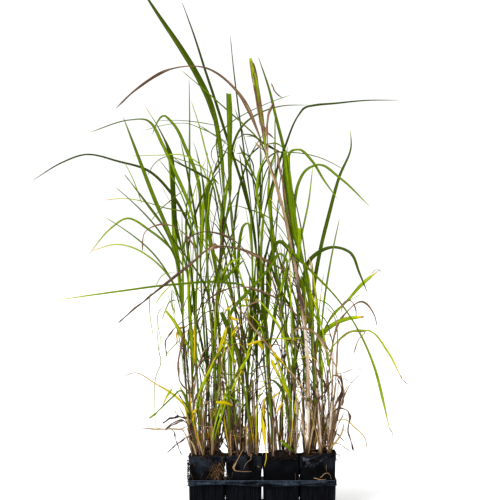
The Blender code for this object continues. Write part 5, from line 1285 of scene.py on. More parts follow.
        loose(((0.7, 90.4), (1.8, 85), (3.4, 80), (4.4, 75.4)), -0.8, 4.5, "straw"),
        loose(((-0.2, 94), (-1.4, 100.6), (-2.4, 106), (-3.2, 111.4)), -1.2, 2.4, "dry"),
        loose(((0.7, 92), (-0.4, 97.6), (-1.4, 103), (-2.3, 109)), -1.3, 2.2, "brown"),
        loose(((2.6, 90.9), (4, 87.4), (4.7, 83), (5.9, 77), (7, 70)), -2, 6, "brown"),
        loose(((-13.4, 64.2), (-11.8, 65.2), (-9.6, 64.9)), -1, 13, "brown"),
        loose(((-26.5, 53.8), (-30, 51), (-33.4, 48.2), (-36, 45.9)), -0.5, 5, "brown"),
        loose(((-0.6, 62.2), (1.6, 58.9), (3.6, 54.4)), -1, 3.4, "dry"),
        loose(((4.6, 62.6), (5.6, 59.4), (7.2, 54.6)), -2, 3, "dry"),
        loose(((-0.1, 95.6), (1.9, 92.9), (3.2, 91.9)), -1, 5, "brown"),
        loose(((-2.9, 111.4), (-2.1, 110.6), (-1.9, 108.9), (-2.3, 107.6)), -1.4, 4, "brown"),
        loose(((0.9, 90.6), (1, 94.6), (1.5, 97.6), (1.9, 99.4), (2.9, 101.3)),
              -0.6, 5.5, "dry", form=(0.4, 0.8, 1.3, 1, 0.4)),
        loose(((-1.8, 91.1), (0.2, 89.1)), -2, 6, "straw"),
        blade(44, ((12.7, 43.6), (14.2, 42.1), (15.4, 39.9), (16.9, 37.6), (18.4, 35.1), (18.9, 32.4)),
              -2, 5, "straw"),
        blade(38, ((12.4, 36.4), (13.7, 34.1), (14.7, 32.1), (15.9, 30.4), (15.9, 28.6), (14.7, 26.6)),
              -3, 6, "dark"),
    )),
    shoot("shoot_4b", -1.4, 7.0, (
        (12.6, 12.8), (13, 27), (12.4, 41.6), (11.8, 51), (10.3, 61), (8.8, 68), (7.8, 73), (7, 80),
    ), (
        blade(79, ((6.2, 85), (5, 91), (3.5, 97), (1.8, 104), (-1, 112.4)), 4, 9, "mid"),
        blade(78, ((6.6, 84), (7.2, 89), (9.3, 89.4), (12, 87), (15.5, 81.5), (18.8, 76.9)), -6, 9, "mid"),
        blade(70, ((8.2, 76.6), (9, 80.9), (11, 84.3), (14, 85.6), (19.5, 82.1), (26.8, 75.1)), -9, 9, "mid"),
        blade(62, ((9.2, 65.4), (8.4, 69.6), (7.8, 74.1), (7.3, 78.6), (6.9, 82.9), (6.4, 87.6)),
              -4, 11, "mid"),
        blade(40, ((12.3, 45.4), (12.2, 50.4), (11.8, 55.4), (11.2, 59.6)), 0.5, 10, "bright"),
    ), "green", (
        loose(((2.2, 105.9), (3.7, 103.1), (5.2, 102.1)), 1, 4, "brown"),
        blade(60, ((7.7, 70), (6.7, 78), (6, 84), (5.6, 88.8)), -4.4, 14, "mid", tip=10),
        loose(((12.9, 23.6), (12.9, 19)), -2, 8, "amber"),
    )),
    shoot("shoot_4c", -2.8, 5.5, ((16.4, 12.8), (17, 21), (17.3, 26), (17.6, 34), (17.7, 39)), (
        blade(24, ((19.2, 27), (19.9, 30), (19.6, 33.5)), -2, 6, "brown"),
        blade(38, ((15.5, 40.8), (12.5, 43.8), (9, 44.6), (7.4, 43), (8, 40.5), (9.5, 38.4)),
              -4.6, 6, "dry", form=(1, 1, 1, 1, 1, 1, 1.2, 1.4, 1)),
        blade(23, ((19.5, 24.6), (21.6, 23.9), (21.5, 19.5), (22.8, 13.9)), -5, 5, "dark"),
    ), "straw", (
        loose(((20.2, 29.1), (20.4, 27.1), (19.9, 24.9)), -2, 4, "brown"),
        loose(((17.4, 19.4), (20.4, 16.4)), -2, 4, "dark"),
        loose(((16.4, 14), (18.2, 16), (19.9, 18.4), (20.4, 21)), -3, 6, "cream"),
        blade(33, ((18.7, 33.1), (19.7, 31.4), (20.4, 28.9), (20, 25.9)), -2, 8, "brown"),
        blade(13.4, ((17, 17), (18.2, 21.6), (19.4, 25.9), (19.9, 28.6), (18.8, 32)), -2, 8, "dark"),
        blade(13.4, ((17.4, 19), (18.4, 24)), -3, 7, "brown"),
        blade(13.4, ((12.9, 22), (13.4, 25.6), (14.7, 27.6), (16.2, 29.6), (17.2, 31.6)), -2, 6, "brown"),
    )),
    shoot("shoot_4d", 3, 6.0, ((15, 12.8), (14, 27), (13, 39), (12.6, 48)), (
        blade(47, ((12.8, 53.6), (14.3, 63.6), (16.8, 73.6), (19.3, 82.6), (22.2, 90.1), (22, 94.1)),
              5, 11.5, "green"),
        blade(37, ((14, 41.9), (18.5, 46.1), (21.5, 47.1), (25.3, 47.4)), -9, 11, "bitten", tip=5),
        blade(38, ((16.5, 46.1), (21.3, 51.6), (26, 56.6), (29.5, 59.3)),
              4, 8, "gilded", form=(0.8, 0.7, 0.6, 0.6, 0.8, 1.2, 1.8, 2.2, 0.5)),
    ), "green", (
        blade(37, ((14, 41.9), (18.5, 46.1), (21.5, 47.1), (25.3, 47.5)), -9.4, 16, "bitten", tip=6),
    )),
    shoot("shoot_4e", 0.5, 5.0, ((15.9, 12.8), (15.2, 25), (14.5, 37), (14.7, 44)), (
        blade(43, ((15.3, 50.1), (17, 61.1), (19.3, 72.1)), -6, 6, "mid"),
        blade(34, ((17, 39.1), (21.3, 43.3), (27, 43.9), (31.3, 38.9), (35, 31.6)),
              -3, 6, "gilded", form=(0.7, 0.7, 0.7, 0.7, 0.8, 1.2, 1.5, 1.6, 1)),
        blade(32, ((14.4, 36.1), (14.5, 40.4), (14.2, 44.6), (13.9, 48.6)), -3, 9, "mid"),
    ), "green", (
        blade(42, ((17.9, 48.5), (21.7, 51.5), (24.7, 53.1)), -2, 4, "mid"),
        loose(((19.7, 48.1), (20.2, 50.6), (21.9, 51.7), (23.2, 50), (23.4, 46.6)), -2, 4, "brown"),
        loose(((27.2, 58.1), (28.4, 59.2), (29.3, 59.4), (29.6, 58.8)), -2, 1.2, "dark"),
        loose(((13.4, 51.9), (15.9, 51), (17.9, 48.9), (18.9, 46.4)), -2, 4, "mid"),
        loose(((13.9, 49.6), (14.4, 45.6)), -2, 5, "mid"),
        loose(((27.4, 44.2), (25.4, 43.8), (22.4, 43.6), (19.2, 41.6)), -0.5, 4.5, "dry"),
        loose(((34.4, 33), (35.2, 31.6), (36.4, 30.6)), 0, 2.4, "dark"),
        loose(((11.9, 50.4), (14.2, 45.4)), -3, 5, "mid"),
    )),
    shoot("shoot_4f", 2.9, 4.0, ((17.2, 12.8), (16.6, 25), (16.4, 34)), (
        blade(33, ((17.5, 40.4), (20.5, 48.1), (25, 51.3), (28, 47.9), (28.8, 44.6)), 5, 6, "brown"),
    ), "dead"),
    shoot("shoot_4g", 2.3, 6.0, ((10.6, 12.8), (10.3, 25), (10.4, 38), (10.2, 50)), (
        blade(49, ((10.4, 56.5), (11.8, 61.5), (17.8, 65), (22, 63.6), (24.3, 58.4), (26.3, 53.4)),
              -5, 12, "deep"),
        blade(43, ((10.8, 46.6), (10.8, 50.4), (10.3, 54.1), (9.7, 57.6)), -3, 11, "bright", tip=4),
    )),
    shoot("shoot_4h", -1.9, 5.0, ((14.3, 12.8), (14.8, 22), (15.2, 28)), (
        blade(22, ((12.5, 25.5), (9, 31.1), (5.5, 35.3), (2.3, 39.2), (-2.5, 45), (-6, 49.8), (-9.5, 54.3)),
              -6, 6, "straw"),
    ), "dead"),
    shoot("shoot_4i", -0.8, 6.5, ((12.3, 12.8), (11.6, 24), (10.9, 35)), (), "straw"),
    shoot("shoot_4j", 3.4, 6.0, ((13.1, 12.8), (13.3, 23), (13.1, 32)), (), "dead"),
    shoot("shoot_4k", -0.1, 6.0, ((16.6, 12.8), (17.3, 22), (18.4, 31)), (
        blade(30, ((18.7, 37), (19.2, 41.6), (21.4, 43.5), (26, 43.8), (24.3, 42), (22.8, 38)),
              4, 5, "straw"),
        blade(21, ((20.7, 21.9), (22.9, 20), (25.7, 17.1), (26.2, 14.4)), -4, 4, "hanging"),
    ), "straw"),
    shoot("shoot_4l", -3.3, 5.5, ((14.9, 12.8), (14.2, 22), (13.6, 30)), (), "straw"),
)


# Routes have a point at every step of this length, in metres
ROUTE_STEP = 0.01


def evenly(points, step):
    """The same curve with points a step apart."""
    run = np.concatenate([[0], np.cumsum(np.linalg.norm(np.diff(points, axis=0), axis=1))])
    count = max(3, int(round(run[-1] / step)) + 1)
    even = np.linspace(0, run[-1], count)
    return np.stack([np.interp(even, run, points[:, axis]) for axis in range(3)], axis=1)


def smooth_route(points):
    """Points at ROUTE_STEP along a smooth curve through points."""
    points = np.array(points, float)
    gaps = np.linalg.norm(np.diff(points, axis=0), axis=1)
    at = np.concatenate([[0], np.cumsum(gaps)])
    if len(points) > 2:
        slopes = np.gradient(points, at, axis=0)
    else:
        slopes = np.repeat(np.diff(points, axis=0) / gaps[0], 2, 0)
    fine = []
    for index, gap in enumerate(gaps):
        count = max(2, int(gap / ROUTE_STEP * 4))
        t = np.linspace(0, 1, count, endpoint=index == len(gaps) - 1)[:, None]
        fine.append(eased(t, *points[index : index + 2], *slopes[index : index + 2], gap))
    return evenly(np.concatenate(fine), ROUTE_STEP)


# Where the camera stands, to the millimetre: the routes are drawn as it sees them
SIGHT = np.array((-0.031, -5.0, 0.641))


def at_depth(flat, depths):
    """Moves points of the plane y = 0 along their lines of sight to the given depths."""
    stretch = (depths - SIGHT[1]) / -SIGHT[1]
    spread = SIGHT + (flat - SIGHT) * stretch[:, None]
    spread[:, 1] = depths
    return spread


SOIL_TOP = 0.127
FIT_GAP = 0.0004


def stem_route(one):
    """A stem's points, from the soil up."""
    flat = smooth_route([(x * CM, 0, z * CM) for x, z in one["stem"]])
    route = at_depth(flat, np.full(len(flat), one["depth"] * CM))
    route[:, 2] += SOIL_TOP + FIT_GAP - route[0, 2]
    return route


# How late along a leaf its depth changes
DEPTH_BEND = 1.35


def blade_route(leaf, stem):
    """A leaf's points, from the middle of its stem to its tip, and the stem point that it leaves from."""
    foot = int(np.argmin(abs(stem[:, 2] - leaf["start"] * CM)))
    start = at_depth(stem[foot : foot + 1], np.zeros(1))[0]
    flat = smooth_route([start] + [(x * CM, 0, z * CM) for x, z in leaf["route"]])
    share = np.linspace(0, 1, len(flat))
    route = at_depth(flat, stem[foot, 1] + leaf["depth"] * CM * share**DEPTH_BEND)
    return route, foot


# A leaf's outline: its foot as a share of its width, how soon it is at its widest, and how it tapers
FOOT_SHARE = 0.45
FOOT_SPREAD = 2.2
TAPER_START = 3.0
TAPER_ROUNDNESS = 0.8


def blade_widths(leaf, count):
    """A leaf is narrow where it leaves its sheath, widest before the middle and drawn out at its tip."""
    t = np.linspace(0, 1, count)
    shape = np.minimum(1, FOOT_SHARE + FOOT_SPREAD * t) * (1 - t**TAPER_START) ** TAPER_ROUNDNESS
    form = np.interp(t, np.linspace(0, 1, len(leaf["form"])), leaf["form"])
    return (leaf["tip"] + (leaf["width"] - leaf["tip"]) * shape) * form * MM


# How far along a leaf, and how high up a stem, it can give way as much as it may
EASE_LENGTH = 0.03
STEM_EASE_LENGTH = 0.25
# How much of a leaf's freedom a stem has
STEM_FREEDOM = 0.5


def make_threads():
    """Every stem and leaf as a thread: its points, their reach to either side and how freely they move."""
    threads = []
    for number, one in enumerate(GRASS):
        stem = stem_route(one)
        height = stem[:, 2] - stem[0, 2]
        threads.append({
            "shoot": number,
            "leaf": None,
            "points": stem,
            "reach": np.full(len(stem), one["girth"] / 2 * MM),
            "freedom": np.clip(height / STEM_EASE_LENGTH, 0, STEM_FREEDOM),
            "stem": None,
        })
        home = len(threads) - 1
        for leaf in one["blades"]:
            route, foot = blade_route(leaf, stem)
            run = np.arange(len(route)) * ROUTE_STEP
            threads.append({
                "shoot": number,
                "leaf": leaf,
                "points": route,
                "reach": blade_widths(leaf, len(route)) / 2,
                "freedom": np.clip(run / EASE_LENGTH, 0, 1),
                "stem": (home, foot),
            })
    return threads


CLEARANCE = 3.0 * MM


def lack_of_room(points, reach, owner, freedom):
    """How far each point has to move in depth to come clear of the points of other shoots."""
    tree = kdtree.KDTree(len(points))
    for index, point in enumerate(points):
        tree.insert(point, index)
    tree.balance()
    widest = 2 * reach.max() + CLEARANCE
    push = np.zeros(len(points))
    for i, point in enumerate(points):
        for _, j, _ in tree.find_range(point, widest):
            if j <= i or owner[i] == owner[j]:
                continue
            dx, dy, dz = point - points[j]
            need = reach[i] + reach[j] + CLEARANCE
            aside = dx * dx + dz * dz
            if aside >= need * need:
                continue
            lack = math.sqrt(need * need - aside) - abs(dy)
            share = freedom[i] + freedom[j]
            if lack <= 0 or share == 0:
                continue
            side = 1 if dy > 0 or (dy == 0 and owner[i] > owner[j]) else -1
            for spot, way in ((i, side), (j, -side)):
                move = way * lack * freedom[spot] / share
                if abs(move) > abs(push[spot]):
                    push[spot] = move
    return push


ROUNDS = 160
# A push is spread over this many points to either side, with this spread, and made larger by this much
EASE_REACH = 4
EASE_SPREAD = 1.8
EASE_GAIN = 1.3


def part_the_shoots(threads):
    """Moves stems and leaves in depth, step by step and smoothly along each, until the shoots are clear."""
    ease = np.exp(-0.5 * (np.arange(-EASE_REACH, EASE_REACH + 1) / EASE_SPREAD) ** 2)
    ease /= ease.sum()
    owner = np.concatenate([np.full(len(t["points"]), t["shoot"]) for t in threads])
    reach = np.concatenate([t["reach"] for t in threads])
    freedom = np.concatenate([t["freedom"] for t in threads])
    ends = np.cumsum([len(t["points"]) for t in threads])[:-1]
    for _ in range(ROUNDS):
        points = np.concatenate([t["points"] for t in threads])
        push = lack_of_room(points, reach, owner, freedom)
        if not push.any():
            break
        moves = []
        for thread, part in zip(threads, np.split(push, ends)):
            spread = np.convolve(np.pad(part, EASE_REACH, mode="edge"), ease, mode="valid")
            moves.append(EASE_GAIN * spread * np.minimum(1, 2 * thread["freedom"]))
        for thread, move in zip(threads, moves):
            if thread["stem"] is not None:
                home, foot = thread["stem"]
                move = move + moves[home][foot]
            thread["points"][:, 1] += move


# A loose leaf that ends farther than this from every stem and leaf is drawn out to the nearest of them
HANG_REACH = 8 * MM


def hung_route(leaf, nearby, depths):
    """A loose leaf's points: one of its ends lies on the foremost stem or leaf that is near it."""
    flat = smooth_route([(x * CM, 0, z * CM) for x, z in leaf["route"]])
    near = [nearby.find(flat[0]), nearby.find(flat[-1])]
    end = 0 if near[0][2] <= near[1][2] else 1
    place, index, far = near[end]
    if far > HANG_REACH:
        flat = evenly(np.concatenate([flat, [place]] if end else [[place], flat]), ROUTE_STEP)
    else:
        found = nearby.find_range(flat[-end], HANG_REACH)
        index = min((spot[1] for spot in found), key=lambda number: depths[number])
    share = np.linspace(1, 0, len(flat)) if end else np.linspace(0, 1, len(flat))
    return at_depth(flat, depths[index] + leaf["depth"] * CM * share**DEPTH_BEND)


def add_growth(growth, rings, age, across, along):
    """Adds a closed tube to a shoot: its spots and faces, and each spot's age and place across and along.

    along has a value a ring, across a value a corner, and age one or both.
    """
    spots, faces = lofted(rings, caps=True)
    first = len(growth["spots"])
    count, sides = rings.shape[:2]
    growth["spots"].extend(spots)
    growth["faces"].extend(tuple(first + corner for corner in face) for face in faces)
    growth["age"].extend(np.broadcast_to(age if age.ndim == 2 else age[:, None], (count, sides)).ravel())
    growth["across"].extend(np.tile(across, count))
    growth["along"].extend(np.repeat(along, sides))


LEAF_STEP = 0.007
LEAF_THICKNESS = 0.25 * MM
MIDRIB_THICKNESS = 0.55 * MM
# A blade whose half is narrower than this is thinner too
FULL_HALF = 2.5 * MM
# Places across a blade, from edge to edge over the top and back underneath
LEAF_ACROSS = np.array((-1, -0.55, 0, 0.55, 1, 0.55, 0, -0.55))
LEAF_UNDER = np.array((0, 0, 0, 0, 0, 1, 1, 1))
# The least width that a blade keeps until just before its tip, in millimetres
FINEST_END = 2.3
# Tones older than the first of these are dry, and they are driest the second beyond it
DRY_AGE, DRY_SPAN = 0.7, 0.3
# How far blades are swung about their length, in degrees: all, those that lie flat, and to and fro along
# them, with what the driest have besides
BLADE_ROLL = 10
BLADE_LEAN_ROLL = 26
SWAY, DRY_SWAY = 14, 58
# How much a dry blade's width varies along it, and how much wider it is
DRY_RAGGED, DRY_WIDER = 0.6, 0.45
# How far each half of a blade is folded up, in degrees, with what a dry one has besides, and what a blade has
# besides where it clasps its stem, over this length
FOLD, DRY_FOLD, CLASPING_FOLD = 24, 10, 48
CLASP_LENGTH = 0.025
# Leaves lower than this height are older and paler than their tone, by up to this much, and higher ones are
# younger and darker: the low leaves are older, and the darker green higher up is partly painted shade among
# the upper leaves
AGE_AND_SHADE_HEIGHT = 0.62
HEIGHT_AGE_AND_SHADE = 0.09
# Old sheaths that start lower than the first of these heights are straw-coloured up to the second
DRY_FOOT_FROM, DRY_FOOT_TO = 0.17, 0.20


def grow_blade(growth, route, leaf, seed, clasping=True, turned=0.0):
    """A blade along a route: clasping its stem at the foot, then opening to a V with a midrib below.

    A dry blade twists along its length. turned swings the whole blade about its length, in degrees.
    """
    route = evenly(route, LEAF_STEP)
    count = len(route)
    t = np.linspace(0, 1, count)
    young, old, late, edge_age = TONES[leaf["tone"]]
    half = blade_widths(leaf, count) / 2
    along = unit(np.gradient(route, axis=0))
    away = np.array((0.0, 1.0, 0.0))
    face = unit(np.cross(along, away))
    edge = unit(away - along * along[:, 1:2])
    rng = np.random.default_rng(seed)
    dryness = max(0.0, (young - DRY_AGE) / DRY_SPAN)
    finest = min(FINEST_END * (1 + dryness), 0.7 * leaf["width"]) / 2 * MM
    half = np.maximum(half, finest * np.minimum(1, 25 * (1 - t)))
    twists = rng.uniform(0.7, 1.6) + 2 * dryness
    sway = (SWAY + DRY_SWAY * dryness) * np.sin(2 * math.pi * (twists * t + rng.uniform()))
    half = half * (1 + DRY_RAGGED * dryness * np.sin(2 * math.pi * (1.3 * twists * t + rng.uniform())))
    half = half * (1 + DRY_WIDER * dryness)
    if not clasping:
        half = half * np.minimum(1, 0.25 + 8 * t)
    lean = BLADE_LEAN_ROLL * (1 - dryness) * (1 - abs(along[:, 2]))
    sway = sway * np.minimum(1, 4 * t) * (1 - 0.7 * t**3)
    roll = np.radians(BLADE_ROLL + turned + lean + sway)[:, None]
    across = face * np.cos(roll) + edge * np.sin(roll)
    up = np.cross(across, along)
    length = np.arange(count) * LEAF_STEP
    shut = np.exp(-length / CLASP_LENGTH) if clasping else np.zeros(count)
    fold = np.radians(FOLD + DRY_FOLD * dryness + CLASPING_FOLD * shut)[:, None]
    reach = half[:, None] * LEAF_ACROSS * np.cos(fold)
    rise = half[:, None] * abs(LEAF_ACROSS) * np.sin(fold)
    body = np.where(LEAF_ACROSS == 0, MIDRIB_THICKNESS, LEAF_THICKNESS) * LEAF_UNDER
    rise = rise - body * np.minimum(1, half / FULL_HALF)[:, None]
    rings = route[:, None] + across[:, None] * reach[:, :, None] + up[:, None] * rise[:, :, None]
    age = young + (old - young) * t**late
    age = age + 0.03 * (young < 0.3) * (leaf["width"] < 7)
    withered = np.clip((t - 0.9) / 0.1, 0, 1) ** 2 * rng.uniform(0.0, 0.6) * (leaf["tip"] < 2)
    age = age + withered * np.maximum(0, 0.86 - age) + rng.uniform(-0.03, 0.03)
    # Low leaves older and paler, upper ones darker: partly age, partly painted shade
    age = age + HEIGHT_AGE_AND_SHADE * np.clip((AGE_AND_SHADE_HEIGHT - route[:, 2]) / AGE_AND_SHADE_HEIGHT, -1, 1) * (young < 0.5)
    if route[0, 2] < DRY_FOOT_FROM and not leaf["route"]:
        age = age + 0.9 * np.clip((DRY_FOOT_TO - route[:, 2]) / 0.05, 0, 1) * np.maximum(0, 0.80 - age)
    age = age[:, None] + edge_age * LEAF_ACROSS**4
    add_growth(growth, rings, np.clip(age, 0, 1), LEAF_ACROSS, length + rng.uniform(0, 50))


STEM_STEP = 0.004
STEM_SIDES = 10
STEM_TAPER = 0.25
# How far a stem reaches down into the compost
STEM_ROOTED = 0.012
JOINT_SPACING = 0.10
# How much thicker a stem is at its joints, and over what length
JOINT_SWELL, JOINT_REACH = 0.16, 0.003
# How much thicker a sheath makes it, and how much of the way to the next joint the sheath goes
SHEATH_SWELL, SHEATH_SHARE = 0.10, 0.78
# How far a stem has aged at its foot and, from a height over the soil, further up, on the stems' own scale:
# 0 is green, 0.35 purple, 0.6 pinkish straw, 0.8 pale straw and 1 dark brown
STEM_AGES = {"green": (0.32, 0.02), "purple": (0.50, 0.32), "straw": (0.66, 0.58), "dead": (0.95, 0.84)}
STEM_AGED_FROM = 0.45
# Purple stems turn green over this height above the soil
PURPLE_UP_TO = 0.34
# How high the one greenish joint of a straw-coloured stem is over the soil, and where such a stem is paler
# or darker: height over the soil, reach and how much older it looks
STRAW_JOINT = 0.143
STRAW_BANDS = ((0.285, 0.05, 0.18), (0.10, 0.025, 0.13), (0.395, 0.04, -0.17), (0.02, 0.03, 0.16))


def grow_stem(growth, one, points, seed):
    """A jointed stem: it swells at each joint, and a sheath wraps it from there nearly to the next."""
    route = evenly(points, STEM_STEP)
    height = route[:, 2] - route[0, 2]
    share = height / height[-1]
    rng = np.random.default_rng(seed)
    spacing = JOINT_SPACING * rng.uniform(0.85, 1.2)
    place = (height / spacing + rng.uniform(0, 0.6)) % 1.0
    if one["kind"] == "straw":
        place = ((height - STRAW_JOINT) / spacing) % 1.0
    near_joint = np.minimum(place, 1 - place) * spacing
    swell = JOINT_SWELL * np.exp(-(near_joint / JOINT_REACH) ** 2)
    wrapped = place < SHEATH_SHARE
    sheath = SHEATH_SWELL * wrapped * np.minimum(1, (SHEATH_SHARE - place) * 12).clip(0.4, 1)
    taper = 1 - STEM_TAPER * share
    radius = one["girth"] / 2 * MM * (taper * (0.93 + swell + sheath))
    if one["kind"] == "dead":
        radius *= np.where(height[-1] - height < 0.006, 0.75, 1)
    turn = np.arange(STEM_SIDES) * 2 * math.pi / STEM_SIDES
    circle = np.column_stack([np.cos(turn), np.sin(turn), np.zeros(STEM_SIDES)])
    rings = route[:, None] + radius[:, None, None] * circle
    rings[0, :, 2] -= STEM_ROOTED
    low, high = STEM_AGES[one["kind"]]
    age = low + (high - low) * np.clip(height / STEM_AGED_FROM, 0, 1) ** 0.8
    age = age + np.where(wrapped, -0.10, 0.12) * (one["kind"] in ("green", "purple"))
    if one["kind"] == "purple":
        age = age * np.clip(1 - (height - PURPLE_UP_TO) / 0.08, 0, 1)
    age = age + 0.35 * np.exp(-height / 0.03) * (age < 0.9)
    if one["kind"] == "straw":
        for middle, far, older in STRAW_BANDS:
            age = age + older * np.exp(-(((height - middle) / far) ** 2))
        ring = np.exp(-(((height - STRAW_JOINT) / 0.004) ** 4))
        age = age * (1 - ring) + 0.20 * ring
    # Round a stem, across is the cosine of the turn, so the skin's paler middle runs down the stem's front
    # and back as a painted highlight
    add_growth(growth, rings, np.clip(age, 0, 1), np.cos(turn), height + rng.uniform(0, 50))


def one_of(rng, tones):
    """One of the tones, by chance."""
    return tones[int(rng.integers(0, len(tones)))]


# How many withered sheaths each kind of stem has round its foot, and how long they are
SCRAPS = {"green": 6, "purple": 6, "straw": 8, "dead": 10}
SHORTEST_SCRAP, SCRAP_SPREAD = 0.05, 0.19
SCRAP_TONES = ("brown", "cream", "dark", "brown", "straw", "yellow", "dark", "dry", "straw", "lime", "amber")
PALE_SCRAP_TONES = ("cream", "straw", "dry", "straw", "brown", "cream", "dry", "dark", "amber")


def grow_scraps(growth, one, stem, seed):
    """The withered sheaths of old leaves that stand loosely round a stem's foot."""
    rng = np.random.default_rng(seed + 5)
    for number in range(SCRAPS[one["kind"]]):
        foot = stem[0] + np.array((*rng.uniform(-0.003, 0.003, 2), 0.0))
        rise = SHORTEST_SCRAP + SCRAP_SPREAD * rng.uniform() ** 1.4
        lean = rng.uniform(-0.2, 0.2, 2)
        curl = rng.uniform(-0.5, 0.5, 2)
        steps = np.linspace(0, 1, 16)[:, None]
        side = lean * rise * steps + curl * rise * steps**4 * 0.3
        climb = rise * (steps - 0.12 * steps**4)
        route = foot + np.column_stack([side[:, 0], side[:, 1], climb[:, 0]])
        route[:, 0] += np.interp(route[:, 2], stem[:, 2], stem[:, 0]) - stem[0, 0]
        tone = one_of(rng, PALE_SCRAP_TONES if one["kind"] == "straw" else SCRAP_TONES)
        scrap = loose((), 0, 1.3 + 4.7 * rng.uniform() ** 1.8, tone)
        grow_blade(growth, route, scrap, seed + 11 * number, clasping=False, turned=rng.uniform(-60, 60))


CURLS_PER_SHOOT = 3
# How far up the stem they start
CURLS_UP_TO = 0.30
CURL_TONES = ("brown", "dark", "straw")
CURL_WIDTHS = (0.9, 2.6)
CURL_SPOTS = 26


def grow_curls(growth, stem, seed):
    """Thin dead leaf ends and root threads that lie crookedly between the stems."""
    rng = np.random.default_rng(seed + 400)
    for number in range(CURLS_PER_SHOOT):
        start = stem[int(rng.uniform(0, min(len(stem), CURLS_UP_TO / ROUTE_STEP)))]
        heading = np.cumsum(rng.normal(0, 0.24, CURL_SPOTS)) + rng.uniform(0, math.tau)
        climb = np.cumsum(rng.normal(0, 0.14, CURL_SPOTS)) + rng.uniform(-0.3, 1.2)
        level = np.cos(climb)
        way = np.column_stack([level * np.cos(heading), level * np.sin(heading), np.sin(climb)])
        route = start + np.cumsum(way * rng.uniform(0.0015, 0.0045), axis=0)
        route[:, 2] = np.maximum(route[:, 2], SOIL_TOP + 0.012)
        curl = loose((), 0, rng.uniform(*CURL_WIDTHS), one_of(rng, CURL_TONES))
        grow_blade(growth, route, curl, seed + 430 + number, clasping=False, turned=rng.uniform(-80, 80))


# The tones of the leaves between the others, and the older ones that only low leaves have too
YOUNG_TONES = ("deep", "green", "mid", "deep", "green", "mid", "bright", "deep")
LOW_TONES = YOUNG_TONES + ("lime", "olive", "turning", "fading")
LOW_TONES_BELOW = 0.55
# How far apart they leave a stem, by the number of its pot
INNER_SPACING = {"1": 0.10, "2": 0.10, "3": 0.14, "4": 0.15}
SHORTEST_STEM_WITH_THEM = 0.2
INNER_LENGTHS = (0.16, 0.36)
# The room that they stay in, to the left, to the right and to the front and back
INNER_LEFT, INNER_RIGHT, INNER_HALF_DEPTH = -0.27, 0.17, 0.12


def grow_inner_leaves(growth, one, stem, seed):
    """Narrow leaves that stand nearly upright between the others and part from the stem at their tips."""
    rng = np.random.default_rng(seed + 900)
    tall = stem[-1, 2] - stem[0, 2]
    if one["kind"] == "dead" or tall < SHORTEST_STEM_WITH_THEM:
        return
    for number in range(int(tall / INNER_SPACING[one["name"][6]])):
        foot = stem[int(rng.uniform(0.10, 0.92) * (len(stem) - 1))]
        length = rng.uniform(*INNER_LENGTHS)
        steps = np.linspace(0, 1, 24)
        lean = np.radians(rng.uniform(3, 9) + rng.uniform(4, 45) * steps**1.6)
        heading = rng.uniform(0, math.tau)
        way = np.array((math.cos(heading), math.sin(heading)))
        aside = np.cumsum(np.sin(lean)) * length / len(steps)
        end = foot[:2] + way * aside[-1]
        if end[0] < INNER_LEFT or end[0] > INNER_RIGHT - 0.10 * max(0.0, foot[2] - 0.3) / 0.4:
            way[0] = -way[0]
        if abs(end[1]) > INNER_HALF_DEPTH:
            way[1] = -way[1]
        climb = np.cumsum(np.cos(lean)) * length / len(steps)
        route = foot + np.column_stack([way[0] * aside, way[1] * aside, climb])
        tone = one_of(rng, LOW_TONES if foot[2] < LOW_TONES_BELOW else YOUNG_TONES)
        leaf = loose((), 0, 2.5 + 5.5 * rng.uniform() ** 1.2, tone)
        grow_blade(growth, route, leaf, seed + 70 + number, turned=rng.uniform(-70, 70))


WITHERED_TONES = ("brown", "dry", "brown", "straw", "turning", "brown")
WITHERED_WIDTHS = (1.8, 4.6)
WITHERED_LENGTHS = (0.10, 0.26)
WITHERED_PER_SHOOT = 2
# The points of the stem that they leave from
WITHERED_FROM, WITHERED_TO = 6, 36


def grow_withered(growth, stem, seed):
    """Long thin dead leaves that leave a stem low down, bend over and hang between the others."""
    rng = np.random.default_rng(seed + 700)
    for number in range(WITHERED_PER_SHOOT):
        foot = stem[min(len(stem) - 1, int(rng.uniform(WITHERED_FROM, WITHERED_TO)))]
        length = rng.uniform(*WITHERED_LENGTHS)
        steps = np.linspace(0, 1, 28)
        lean = np.radians(rng.uniform(4, 14) + rng.uniform(30, 150) * steps**2.2)
        swerve = rng.uniform(0, math.tau) + rng.uniform(-1.2, 1.2) * steps**2
        aside = np.sin(lean) * length / len(steps)
        climb = np.cos(lean) * length / len(steps)
        across = np.cos(swerve) * aside
        if not INNER_LEFT + 0.06 < foot[0] + across.sum() < INNER_RIGHT:
            across = -across
        inward = np.sin(swerve) * aside
        if abs(foot[1] + inward.sum()) > INNER_HALF_DEPTH:
            inward = -inward
        route = foot + np.cumsum(np.column_stack([across, inward, climb]), axis=0)
        leaf = loose((), 0, rng.uniform(*WITHERED_WIDTHS), one_of(rng, WITHERED_TONES))
        grow_blade(growth, route, leaf, seed + 740 + number, turned=rng.uniform(-70, 70))


